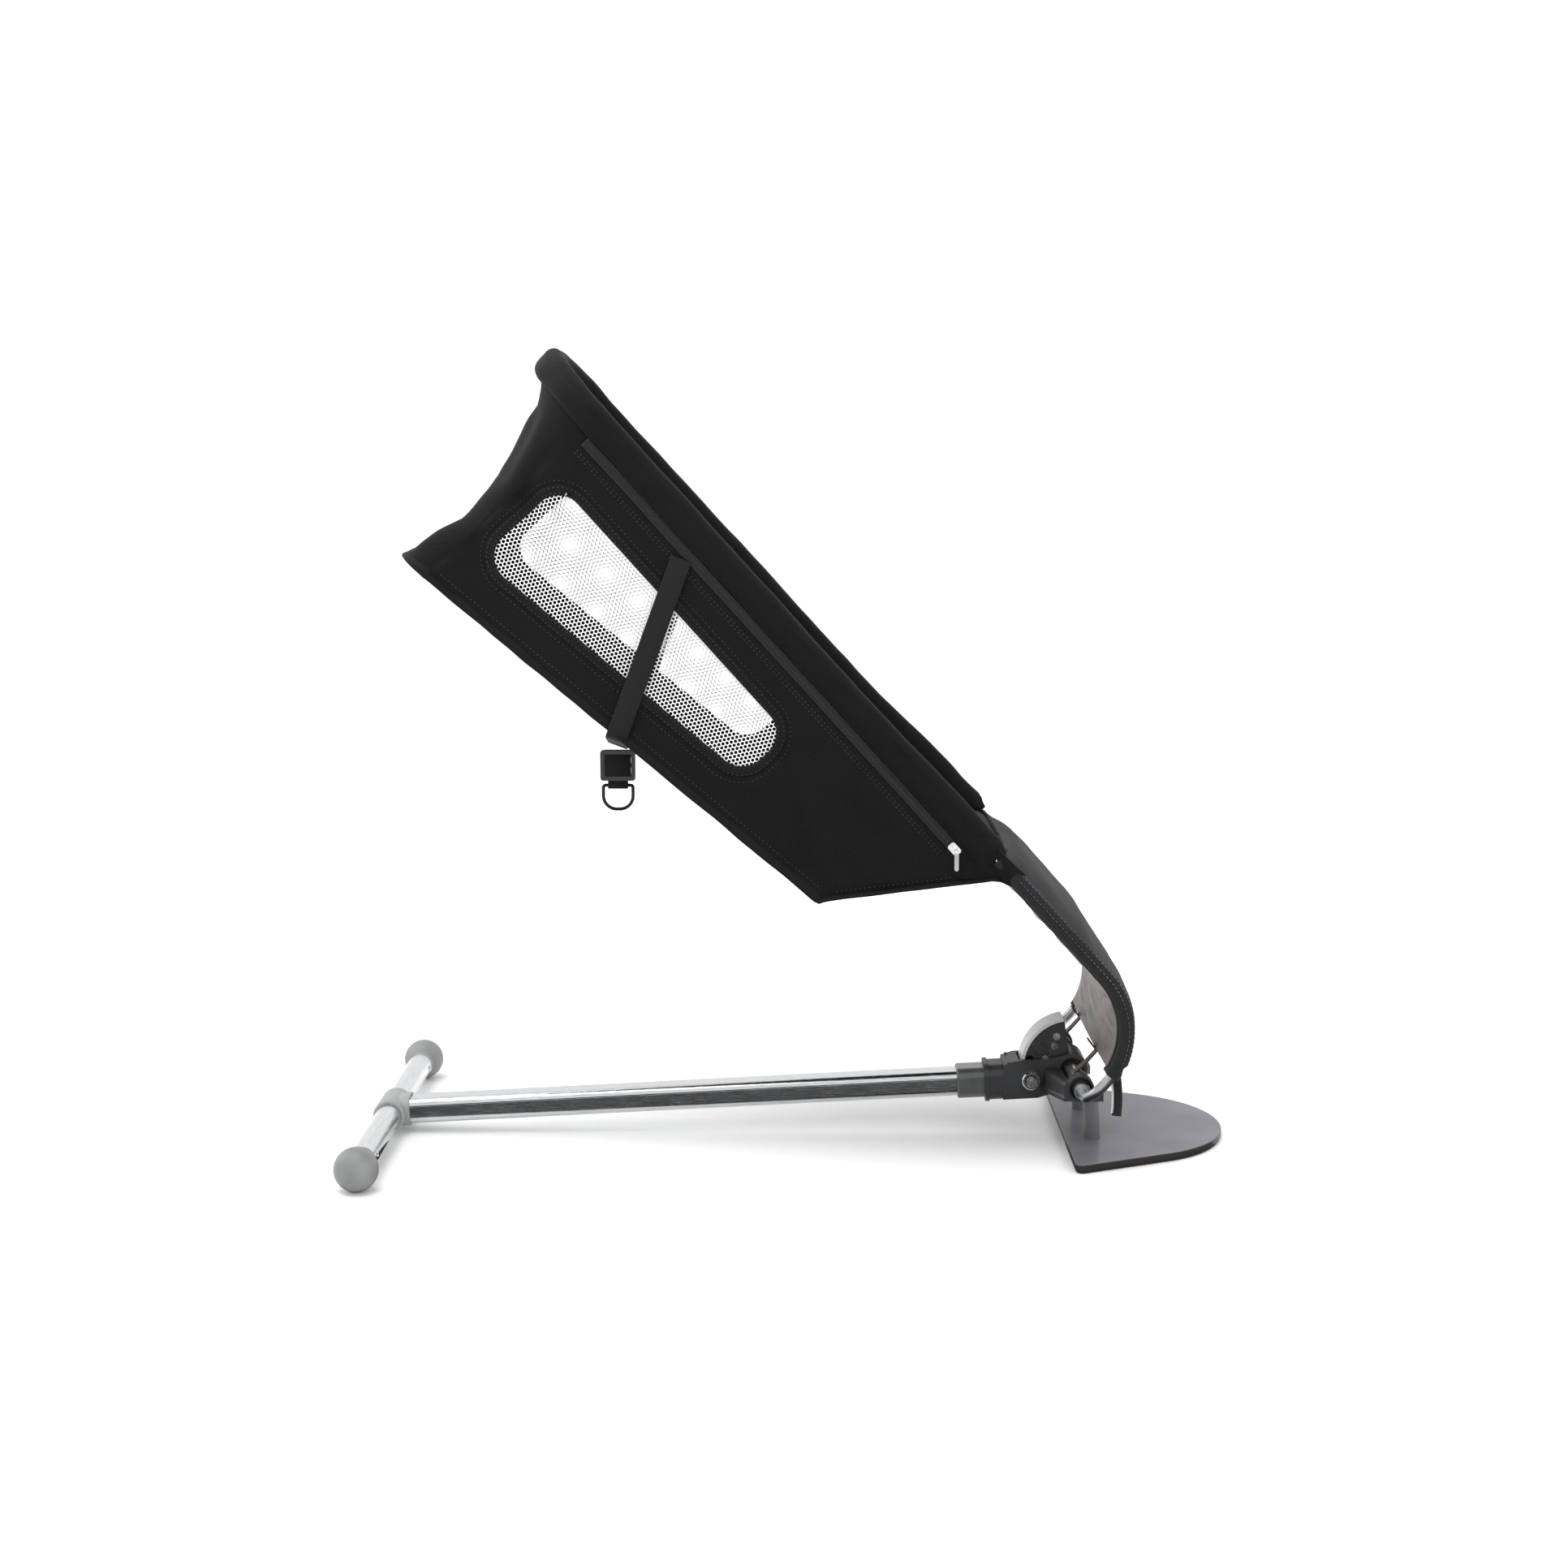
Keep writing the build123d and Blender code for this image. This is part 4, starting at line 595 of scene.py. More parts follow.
sideColumns = []
t = bucket["firstColumn"]
while t < bucket["sideEnd"] - 1:
    sideColumns.append(t)
    t += bucket["step"]
sideColumns.append(bucket["sideEnd"])
cornerColumns = 14
flatColumns = 18


# A point on the side wall; side is -1 on the right and 1 on the left. lift is outward.
def wallPoint(t, d, side, lift=0.0):
    y = halfWidth(t) + (sideBulge(t, d, side) + lift) * cos(taper)
    return seatPoint(t + (lift * sin(taper)), d, side * y)


def wallNormal(side):
    return (Vector((0, side * cos(taper), 0)) + along * sin(taper)).normalized()


# The head end between a side wall (share 0) and the middle (share 1).
def headPoint(d, share, side):
    reach, corner = headCorner(d)
    half = halfWidth(bucket["sideEnd"])
    arcShare = 0.42
    if share < arcShare:
        angle = share / arcShare * pi / 2
        x = bucket["sideEnd"] + sin(angle) * (reach - bucket["sideEnd"])
        y = half - corner + cos(angle) * corner
    else:
        run = (share - arcShare) / (1 - arcShare)
        x, y = reach, (half - corner) * (1 - run)
    mid = smooth(share)
    sag = 4.0 * mid * smooth((d - 40) / 60) * smooth((210 - d) / 50)
    wave = (3.4 * ripple(y * side, d * 0.7, 5, 26, 4.4) + 2.4 * sin(y * side / 7.5 + d / 30)
            ) * smooth((d - 26) / 24) * smooth((214 - d) / 16) * smooth(share / 0.15)
    return seatPoint(x - sag + wave, d, side * y)


# Whether (t, d) is inside the window grown by a margin.
def outlineInside(t, d, margin):
    w = window
    tMid = min(max(t, w["start"] + w["corner"]), w["end"] - w["corner"])
    lowHere = between(tMid, [(w["start"], w["lowStart"]), (w["end"], w["lowEnd"])])
    top, low = w["top"] + w["corner"], lowHere - w["corner"]
    if low < top:
        top = low = (w["top"] + lowHere) / 2
    dMid = min(max(d, top), low)
    radius = min(w["corner"], (lowHere - w["top"]) / 2)
    return hypot(t - tMid, d - dMid) <= radius + margin


window = {"start": 364.0, "end": 671.0, "top": 66.0, "lowStart": 121.0, "lowEnd": 165.0,
          "corner": 24.0, "bindingHigh": 1.3, "cutMargin": 4.5,
          "pitch": 3.9, "strand": 0.95, "netThickness": 0.55}

shellRows = []
rowSides = []
for r in range(bucket["rows"] + 1):
    v = r / bucket["rows"]
    row, marks = [], []
    for t in sideColumns:
        d = bucket["topDepth"] + v * (bottomDepth(t) - bucket["topDepth"])
        row.append(wallPoint(t, d, -1))
        marks.append((t, d))
    headLow = bottomDepth(bucket["sideEnd"])
    for side, shares in ((-1, range(1, cornerColumns + flatColumns + 1)),
                         (1, range(cornerColumns + flatColumns - 1, 0, -1))):
        for k in shares:
            if k <= cornerColumns:
                share = 0.42 * k / cornerColumns
            else:
                share = 0.42 + 0.58 * (k - cornerColumns) / flatColumns
            low = headLow + (bucket["headDepth"] - headLow) * smooth(share / 0.4)
            d = bucket["topDepth"] + v * (low - bucket["topDepth"])
            row.append(headPoint(d, share, side))
            marks.append(None)
    for t in reversed(sideColumns):
        d = bucket["topDepth"] + v * (bottomDepth(t) - bucket["topDepth"])
        row.append(wallPoint(t, d, 1))
        marks.append((t, d))
    shellRows.append(row)
    rowSides.append(marks)


def keepWall(r, c):
    marks = [rowSides[r][c], rowSides[r][c + 1], rowSides[r + 1][c + 1], rowSides[r + 1][c]]
    if None in marks:
        return True
    t = sum(m[0] for m in marks) / 4
    d = sum(m[1] for m in marks) / 4
    return not outlineInside(t, d, window["cutMargin"])


bucketWall = sheetGrid("bucketWall", shellRows, bagCloth, bucket["clothThickness"], 0.0, keepWall)
faceOut(bucketWall)
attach(bucketWall, "seat")
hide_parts("side_wall_left", "side_wall_right", "head_wall")
# two side panels and the head panel, less the two window openings
print("bucket wall made")

# Bucket floor: underside of the seat and the back, with its seam lip

floorValues = {"rows": 120, "columns": 44, "sag": 3.0, "thickness": 1.8, "bendSpan": 9.0,
               "lipHigh": 5.2, "lipThick": 1.3}


# Seat coordinates along the underside from the seat's front edge, and its outward way.
def floorPlace(s):
    b = bucket
    front = Vector((b["frontAlong"], b["frontDepth"]))
    corner = Vector((b["cornerAlong"], b["cornerDepth"]))
    head = Vector((b["headAlong"], b["headDepth"]))
    first, second = (corner - front), (head - corner)
    if s <= first.length:
        place = front + first.normalized() * s
    else:
        place = corner + second.normalized() * (s - first.length)
    blendShare = smooth((s - first.length) / (2 * floorValues["bendSpan"]) + 0.5)
    way = (first.normalized().lerp(second.normalized(), blendShare)).normalized()
    return place, Vector((-way.y, way.x)), first.length, second.length


def floorHalf(t):
    half = halfWidth(min(t, bucket["sideEnd"]))
    if t > bucket["sideEnd"]:
        reach, corner = headCorner(bucket["headDepth"])
        x = min(1, (t - bucket["sideEnd"]) / (reach - bucket["sideEnd"]))
        half += corner * (sqrt(max(0, 1 - x * x)) - 1)
    return half


_, _, seatRun, backRun = floorPlace(0)
floorRows = []
for r in range(floorValues["rows"] + 1):
    s = (seatRun + backRun) * r / floorValues["rows"]
    place, outward, _, _ = floorPlace(s)
    half = floorHalf(place.x)
    row = []
    for c in range(floorValues["columns"] + 1):
        u = 2 * c / floorValues["columns"] - 1
        body = (1 - abs(u) ** 3)
        nearCorner = 1 - 0.8 * (2.7 ** (-((s - seatRun) / 30) ** 2))
        push = body * (floorValues["sag"] * smooth((s - seatRun) / 80) * nearCorner
                       + 1.6 * ripple(s, u * 90, 2, 60, 9.1))
        row.append(seatPoint(place.x + outward.x * push, place.y + outward.y * push, u * half))
    floorRows.append(row)
bucketFloor = sheetGrid("bucketFloor", floorRows, bagCloth, floorValues["thickness"], 0.0)
faceOut(bucketFloor)
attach(bucketFloor, "seat")
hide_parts("back_panel", "seat_panel")

edgeMarks = []
for r in range(floorValues["rows"] * 2 + 1):
    s = (seatRun + backRun) * r / (floorValues["rows"] * 2)
    place, outward, _, _ = floorPlace(s)
    if place.x <= bucket["sideEnd"]:
        edgeMarks.append((place, outward, floorHalf(place.x)))
lipPoints, lipRise = [], []
for place, outward, half in edgeMarks:
    lipPoints.append(seatPoint(place.x, place.y, -half - 0.4))
    lipRise.append(-out * 0.8 + Vector((0, -0.3, 0)) + along * (-outward.x * 0.5))
for side in (-1, 1):
    steps = range(1, 25) if side < 0 else range(23, 0, -1)
    for k in steps:
        share = k / 24
        point = headPoint(bottomDepth(690) + (bucket["headDepth"] - bottomDepth(690)) *
                          smooth(share / 0.4) + 0.6, share, side)
        lipPoints.append(point)
        lipRise.append(-out * 0.9 + along * 0.35)
for place, outward, half in reversed(edgeMarks):
    lipPoints.append(seatPoint(place.x, place.y, half + 0.4))
    lipRise.append(-out * 0.8 + Vector((0, 0.3, 0)) + along * (-outward.x * 0.5))


def lipShape(i, run):
    tall = floorValues["lipHigh"] * (1 + 0.16 * ripple(run / mm, 0, 0, 28, 2.2))
    lean = 0.7 * ripple(run / mm, 8, 0, 40, 5.2)
    return [(a + lean, b) for a, b in roundedBar(floorValues["lipThick"], tall, 1.2, 2)]


bottomLip = sweepPiece("bottomSeamLip", pathFrames(lipPoints, lipRise), lipShape, bindingCloth)
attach(bottomLip, "seat")
print("bucket floor and seam lip made")

# Quilted liner: back and seat pads, crowned between sewn channels

liner = {"high": 18.7, "low": 6.7, "inset": 2.6, "puff": 3.4, "rows": 90,
         "columns": 60, "channelSharp": 0.35}


# A closed pad lying on the boards; start and end are runs from the low corner.
def padSurface(name, start, end, material, cells):
    b = bucket
    corner = Vector((b["cornerAlong"], b["cornerDepth"]))
    head = Vector((b["headAlong"], b["headDepth"]))
    front = Vector((b["frontAlong"], b["frontDepth"]))
    isBack = cells > 4
    way = ((head if isBack else front) - corner).normalized()
    normal = Vector((way.y, -way.x)) if isBack else Vector((-way.y, way.x))
    other = ((front if isBack else head) - corner).normalized()
    otherNormal = Vector((-other.y, other.x)) if isBack else Vector((other.y, -other.x))
    mitre = (normal + otherNormal) * (1 / (1 + normal.dot(otherNormal)))
    top, under = [], []
    for r in range(liner["rows"] + 1):
        s = start + (end - start) * r / liner["rows"]
        share = r / liner["rows"]
        rowTop, rowLow = [], []
        for c in range(liner["columns"] + 1):
            u = 2 * c / liner["columns"] - 1
            rim = min(1, (1 - abs(u)) / 0.12) * min(1, share / 0.05) * min(1, (1 - share) / 0.05)
            rim = sqrt(max(0, 1 - (1 - rim) ** 2))
            quilt = (abs(sin(pi * share * cells)) ** liner["channelSharp"]
                     * abs(cos(pi * u * 1.5)) ** liner["channelSharp"])
            level = liner["high"] - liner["puff"] * (1 - quilt) - 0.3
            level += 0.5 * ripple(s, u * 100, 3, 40, 6.6) - 0.4
            mid = (liner["high"] + liner["low"]) / 2
            high = mid + (level - mid) * rim
            low = mid + (liner["low"] - mid) * rim
            for value, target in ((high, rowTop), (low, rowLow)):
                base = corner + way * s + normal * value
                if abs(s) < 24:
                    cornerBase = corner + mitre * value + way * s
                    base = base.lerp(cornerBase, 1 - abs(s) / 24)
                half = floorHalf(min(base.x, 716)) - liner["inset"]
                target.append(seatPoint(base.x, base.y, u * half))
        top.append(rowTop)
        under.append(rowLow)
    count = liner["columns"] + 1
    rows = [top[r] + list(reversed(under[r]))[1:-1] for r in range(len(top))]
    verts, uvs, faces = [], [], []
    width = len(rows[0])
    for r, row in enumerate(rows):
        for c, point in enumerate(row):
            verts.append(point)
            across = c if c < count else 2 * (count - 1) - c
            uvs.append((across / (count - 1) * 0.24, r / liner["rows"] * (end - start) * mm))
    for r in range(len(rows) - 1):
        for c in range(width):
            n = (c + 1) % width
            faces.append((r * width + c, (r + 1) * width + c, (r + 1) * width + n, r * width + n))
    for r in (0, len(rows) - 1):
        for c in range(count - 1):
            a, bb = r * width + c, r * width + c + 1
            low0 = r * width + (width - c) % width
            low1 = r * width + width - c - 1
            if c == 0:
                face = (a, bb, low1)
            elif c == count - 2:
                face = (a, bb, low0)
            else:
                face = (a, bb, low1, low0)
            faces.append(face)
    piece = finishMesh(name, verts, faces, uvs, material)
    faceOut(piece)
    return piece


backPad = padSurface("backPadQuilted", 1.0, backRun - 12, padCloth, 8)
seatPad = padSurface("seatPadQuilted", 1.0, seatRun - 15, padCloth, 3)
for piece, node in ((backPad, "back_pad"), (seatPad, "seat_pad")):
    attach(piece, "seat")
    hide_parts(node)
print("liner pads made")

# Rim sleeve: padded band round the bow

sleeve = {"start": 149.0, "up": 11.0, "down": 17.5, "half": 9.2, "round": 2.5, "points": 36,
          "wave": 1.1}
bowCorners = [Vector((sleeve["start"], -halfWidth(sleeve["start"]), 0)),
              Vector((seatFrame["length"], -seatFrame["headHalf"], 0)),
              Vector((seatFrame["length"], seatFrame["headHalf"], 0)),
              Vector((sleeve["start"], halfWidth(sleeve["start"]), 0))]
bowLine = filletPath(bowCorners, [seatFrame["headBend"]] * 2, 5.0)
bowPoints = [seatPoint(p.x, 0, p.y) for p in bowLine]
bowFrames = pathFrames(bowPoints, -out)
bowRun = [0.0]
for a, b in zip(bowPoints, bowPoints[1:]):
    bowRun.append(bowRun[-1] + (b - a).length / mm)


def sleeveShape(i, run):
    s = run / mm
    t, y = bowLine[i].x, bowLine[i].y
    fromEnd = min(s, bowRun[-1] - s)
    flare = 1 + 0.16 * smooth((34 - fromEnd) / 34) - 0.55 * smooth((15 - fromEnd) / 15)
    lift = (3.0 if y < 0 else 6.0) * smooth((330 - t) / 120)
    headLift = 1.5 * smooth((t - 700) / 40)
    pucker = smooth((24 - fromEnd) / 24)
    shape = []
    for k in range(sleeve["points"]):
        angle = 2 * pi * k / sleeve["points"]
        ca, sa = cos(angle), sin(angle)
        a = sleeve["half"] * abs(ca) ** (2 / sleeve["round"]) * (1 if ca > 0 else -1)
        high = sleeve["down"] if sa > 0 else sleeve["up"] + lift + headLift
        b = high * abs(sa) ** (2 / sleeve["round"]) * (1 if sa > 0 else -1)
        soft = 1 + sleeve["wave"] / 9 * (ripple(s, angle * 14, 0, 26, 8.3)
                                         + 0.6 * ripple(s, angle * 9, 4, 70, 2.3))
        soft += 0.1 * pucker * sin(angle * 6 + s / 5)
        shape.append((a * soft * flare, b * (1 + (soft - 1) * 0.6)
                      * (1 + (flare - 1) * 0.5)))
    return shape


rimSleeve = sweepPiece("rimSleeve", bowFrames, sleeveShape, bagCloth)
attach(rimSleeve, "seat")
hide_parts("rim_sleeve")
print("rim sleeve made")

# Windows: netting and stitched bindings

def windowOutline(margin, step=3.0):
    w = window
    corners = [Vector((w["start"] - margin, w["top"] - margin, 0)),
               Vector((w["end"] + margin, w["top"] - margin, 0)),
               Vector((w["end"] + margin, w["lowEnd"] + margin * 1.08, 0)),
               Vector((w["start"] - margin, w["lowStart"] + margin * 1.08, 0))]
    return filletPath(corners, [w["corner"] + margin] * 4, step, closed=True)


# Warp-knitted netting as six-sided cells with open middles, stretched over the window.
def netPiece(name, side):
    w = window
    radius = w["pitch"] / sqrt(3)
    inner = 1 - w["strand"] / w["pitch"]
    verts, faces, uvs, seen = [], [], [], {}

    def corner(t, d):
        key = (round(t, 2), round(d, 2))
        if key not in seen:
            seen[key] = len(verts)
            verts.append(wallPoint(t, d, side))
            uvs.append((t * mm, d * mm))
        return seen[key]

    row = 0
    d = w["top"] - 8
    while d < w["lowEnd"] + 8:
        t = w["start"] - 8 + (w["pitch"] / 2 if row % 2 else 0)
        while t < w["end"] + 8:
            if outlineInside(t, d, 3.6):
                outer = [(t + radius * sin(k * pi / 3), d + radius * cos(k * pi / 3))
                         for k in range(6)]
                rim = [corner(*p) for p in outer]
                hole = []
                for p in outer:
                    q = (t + (p[0] - t) * inner, d + (p[1] - d) * inner)
                    hole.append(len(verts))
                    verts.append(wallPoint(q[0], q[1], side))
                    uvs.append((q[0] * mm, q[1] * mm))
                for k in range(6):
                    n = (k + 1) % 6
                    faces.append((rim[k], rim[n], hole[n], hole[k]))
            t += w["pitch"]
        d += w["pitch"] * sqrt(3) / 2
        row += 1
    piece = finishMesh(name, verts, faces, uvs, netCloth)
    work = bmesh.new()
    work.from_mesh(piece.data)
    bmesh.ops.remove_doubles(work, verts=work.verts, dist=0.05 * mm)
    work.to_mesh(piece.data)
    work.free()
    applyModifier(piece, "SOLIDIFY", thickness=w["netThickness"] * mm, offset=0.0)
    faceOut(piece)
    return piece


for name, side, node in (("windowNetRight", -1, "window_mesh_right"),
                         ("windowNetLeft", 1, "window_mesh_left")):
    net = netPiece(name, side)
    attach(net, "seat")
    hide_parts(node)


# A folded tape round the window on the outer (face 1) or inner (face -1) side.
def bindingBand(name, side, face, material):
    inner = windowOutline(0.4, 3.0)
    count = len(inner)
    profile = [(-0.3, -0.2), (-0.2, 0.9), (0.6, 1.35), (2.6, 1.25), (4.5, 1.5), (6.6, 1.25),
               (8.2, 1.3), (8.9, 0.8), (9.0, -0.2)]
    verts, uvs, faces = [], [], []
    run = 0.0
    for i, p in enumerate(inner):
        ahead, behind = inner[(i + 1) % count], inner[i - 1]
        way = (ahead - behind).normalized()
        outwards = Vector((way.y, -way.x, 0))
        if i:
            run += (p - inner[i - 1]).length * mm
        for k, (a, b) in enumerate(profile):
            q = p + outwards * a
            high = b * window["bindingHigh"] / 1.5 + 0.8
            verts.append(wallPoint(q.x, q.y, side, face * high))
            uvs.append((run, a * mm))
    m = len(profile)
    for i in range(count):
        n = (i + 1) % count
        for k in range(m):
            kk = (k + 1) % m
            faces.append((i * m + k, n * m + k, n * m + kk, i * m + kk))
    piece = finishMesh(name, verts, faces, uvs, material)
    work = bmesh.new()
    work.from_mesh(piece.data)
    bmesh.ops.recalc_face_normals(work, faces=work.faces)
    work.to_mesh(piece.data)
    work.free()
    return piece


bands = []
for side in (-1, 1):
    for face in (1, -1):
        bands.append(bindingBand("binding" + ("R" if side < 0 else "L")
                                 + ("Out" if face > 0 else "In"), side, face, bindingCloth))
bpy.ops.object.select_all(action="DESELECT")
for band in bands:
    band.select_set(True)
bpy.context.view_layer.objects.active = bands[0]
bpy.ops.object.join()
windowBindings = bands[0]
windowBindings.name = "windowBindings"
windowBindings.select_set(False)
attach(windowBindings, "seat")
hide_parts("window_bindings")

seamRows = []
for side in (-1, 1):
    normal = wallNormal(side)
    for margin, lift in ((2.2, 2.05), (7.4, 2.0), (13.5, 0.95)):
        outline = windowOutline(margin)
        outline.append(outline[0])
        seamRows.append([(wallPoint(p.x, p.y, side, lift), normal) for p in outline])
    for depth, t0, t1 in ((33.5, 176, 684), (36.5, 176, 684)):
        seamRows.append([(wallPoint(t0 + (t1 - t0) * k / 120, depth, side, 0.85), normal)
                         for k in range(121)])
    low = []
    for k in range(140):
        tt = 240 + (688 - 240) * k / 139
        low.append((wallPoint(tt, bottomDepth(tt) - 8.0, side, 0.85), normal))
    seamRows.append(low)
    front = []
    for k in range(50):
        tt = 158 + (228 - 158) * k / 49
        front.append((wallPoint(tt, bottomDepth(tt) - 9.0, side, 0.85), normal))
    seamRows.append(front)
bagStitches = stitches("bagStitches", seamRows, sewingThread)
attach(bagStitches, "seat")
print("windows made")

# Zips: two lips of tape with a coil between them

zipValues = {"depth": 22.5, "start": 172.0, "end": 684.0, "half": 4.5, "toothPitch": 2.2}


def zipSide(name, side):
    z = zipValues
    # the tape lies on the wall; two raised lips flank the coil
    profile = [(-4.5, 0.3), (-4.3, 1.3), (-3.0, 1.75), (-1.6, 1.7), (-1.2, 0.9), (1.2, 0.9),
               (1.6, 1.7), (3.0, 1.75), (4.3, 1.3), (4.5, 0.3)]
    count = 150
    frames = []
    for k in range(count + 1):
        t = z["start"] + (z["end"] - z["start"]) * k / count
        wave = 0.5 * ripple(t, side * 9, 0, 48, 3.9)
        centre = seatPoint(t, z["depth"] + wave, side * (halfWidth(t) + 0.9 * cos(taper)))
        frames.append((centre, -out, wallNormal(side)))
    piece = sweepPiece(name, frames, profile, zipTapeCloth)
    verts, faces = [], []
    t = z["start"] + 2
    while t < z["end"] - 2:
        for lean in (-0.55, 0.55):
            base = len(verts)
            centre = seatPoint(t + (0.5 if lean > 0 else 0), z["depth"] + lean,
                               side * (halfWidth(t) + 2.0))
            ways = (along * (0.45 * mm), -out * (0.75 * mm), wallNormal(side) * (0.35 * mm))
            for a in (-1, 1):
                for b in (-1, 1):
                    for c in (-1, 1):
                        verts.append(centre + ways[0] * a + ways[1] * b + ways[2] * c)
            faces += [tuple(base + i for i in f) for f in
                      ((0, 1, 3, 2), (4, 6, 7, 5), (0, 4, 5, 1), (2, 3, 7, 6), (0, 2, 6, 4),
                       (1, 5, 7, 3))]
        t += z["toothPitch"]
    teeth = finishMesh(name + "Teeth", verts, faces, [(0, 0)] * len(verts), acetalBlack, False)
    faceOut(teeth)
    return piece, teeth


for side in (-1, 1):
    tape, teeth = zipSide("zipTape" + ("Right" if side < 0 else "Left"), side)
    for piece in (tape, teeth):
        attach(piece, "seat")
    if side < 0:
        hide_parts("zip_tapes")
print("zips made")

# Leg cover and lining

leg = {"crown": 4.0, "belly": 8.5, "coverHem": -34.0, "liningHem": -30.0, "liningOff": 7.4,
       "wrap": 8.3, "under": 6.4, "thickness": 2.2, "liningThickness": 1.0, "half": 135.0,
       "coverEnd": 150.0}


# Rod line from the hem upward; s < 0 is on the bend, in millimetres along the rod.
def legFrame(s):
    if s < 0:
        angle = radians(legTop) + s / seatFrame["bend"]
        way = Vector((cos(angle), 0, sin(angle)))
        return bendCentre + way * seatFrame["bend"], way
    return seatOrigin + along * s, out


def legPoint(s, y, off):
    centre, way = legFrame(s)
    return (centre + way * off + Vector((0, y, 0))) * mm


def legCrown(s, u):
    rise = leg["crown"] + leg["belly"] * smooth((s + 10) / 60) * smooth((150 - s) / 26)
    return leg["wrap"] + rise * (1 - abs(u) ** 4)


coverRows = []
startS = radians(leg["coverHem"] - legTop) * seatFrame["bend"]
rowsCover = 84
acrossCount = 64
for r in range(rowsCover + 1):
    s = startS + (leg["coverEnd"] - startS) * r / rowsCover
    hemShare = smooth((s - startS) / 14)
    row = []
    profile = []
    for k in range(5):
        profile.append((-121 - 3.4 * k, -leg["under"] + 0.2 * (k % 2)))
    for k in range(11):
        angle = -pi / 2 - pi * k / 10
        profile.append((-leg["half"] + leg["wrap"] * cos(angle),
                        (leg["wrap"] if sin(angle) > 0 else leg["under"]) * sin(angle)))
    for k in range(1, acrossCount):
        u = 2 * k / acrossCount - 1
        profile.append((u * leg["half"], legCrown(s, u)))
    for k in range(11):
        angle = pi / 2 - pi * k / 10
        profile.append((leg["half"] + leg["wrap"] * cos(angle),
                        (leg["wrap"] if sin(angle) > 0 else leg["under"]) * sin(angle)))
    for k in range(4, -1, -1):
        profile.append((121 + 3.4 * k, -leg["under"] + 0.2 * (k % 2)))
    for y, off in profile:
        soft = 0.9 * ripple(s, y * 0.8, 1, 42, 5.5) + 0.5 * ripple(s, y, 1, 17, 8.1)
        cross = 0.9 * ripple(s, y * 0.5, 3, 24, 2.0) * smooth((s + 20) / 40)
        gather = 0.9 * (1 - hemShare) * sin(y / 5.0)
        pinch = -2.2 * (2.7 ** (-((s - startS - 11) / 3.0) ** 2)) if off > 0 else 0
        row.append(legPoint(s, y, off + (soft + cross + gather + pinch) * (1 if off > 0 else -0.4)))
    coverRows.append(row)
legCover = sheetGrid("legCover", coverRows, coverCloth, leg["thickness"], -1.0)
faceOut(legCover)
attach(legCover, "seat")
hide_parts("leg_cover")

# Apron: the same cloth carried on over the front of the seat, between the sleeves
apronPath = [(128, -9.0), (140, -9.5), (150, -7.5), (158, -1.0), (166, 9.0), (176, 22.0),
             (186, 35.0), (196, 48.0)]
apronRows = []
for r in range(29):
    place = r / 28 * (len(apronPath) - 1)
    k = min(int(place), len(apronPath) - 2)
    f = place - k
    tt = apronPath[k][0] + (apronPath[k + 1][0] - apronPath[k][0]) * f
    dd = apronPath[k][1] + (apronPath[k + 1][1] - apronPath[k][1]) * f
    row = []
    for c in range(45):
        u = 2 * c / 44 - 1
        soft = 1.4 * ripple(tt, u * 110, 3, 38, 1.7)
        row.append(seatPoint(tt, dd - soft + 2.5 * abs(u) ** 3, u * (halfWidth(tt) - 9.5)))
    apronRows.append(row)
seatApron = sheetGrid("seatApron", apronRows, coverCloth, 1.8, 0.0)
faceOut(seatApron)
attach(seatApron, "seat")

liningRows = []
startL = radians(leg["liningHem"] - legTop) * seatFrame["bend"]
for r in range(91):
    s = startL + (134 - startL) * r / 90
    row = []
    for c in range(61):
        u = 2 * c / 60 - 1
        y = u * 131
        fold = 2.8 * ripple(s, y * 0.35, 2, 17, 6.1) + 1.4 * sin(s / 4.4 + 3 * ripple(s, y, 0, 60, 3.0))
        slack = 3.0 * (1 - u * u)
        ends = smooth((s - startL) / 12)
        row.append(legPoint(s, y, -leg["liningOff"] - slack - abs(fold) * ends * (1 - abs(u) ** 6)))
    liningRows.append(row)
legLining = sheetGrid("legLining", liningRows, liningCloth, leg["liningThickness"], 0.0)
faceOut(legLining)
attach(legLining, "seat")
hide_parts("leg_lining")

legRows = []
for off in (5.0, 16.0):
    legRows.append([(legPoint(startS + off, -130 + 260 * k / 90,
                              legCrown(startS + off, (-130 + 260 * k / 90) / leg["half"]) + 0.3),
                     legFrame(startS + off)[1]) for k in range(91)])
for side in (-1, 1):
    for inset in (12.0, 52.0):
        row = []
        for k in range(100):
            s = startS + 16 + (leg["coverEnd"] - startS - 40) * k / 99
            turn = radians(inset)
            reach = leg["wrap"] + 0.7
            way = legFrame(s)[1]
            row.append((legPoint(s, side * (leg["half"] + reach * cos(turn)), reach * sin(turn)),
                        (way * sin(turn) + Vector((0, side * cos(turn), 0))).normalized()))
        legRows.append(row)
legStitches = stitches("legStitches", legRows, greyThread)
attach(legStitches, "seat")
print("leg cover made")

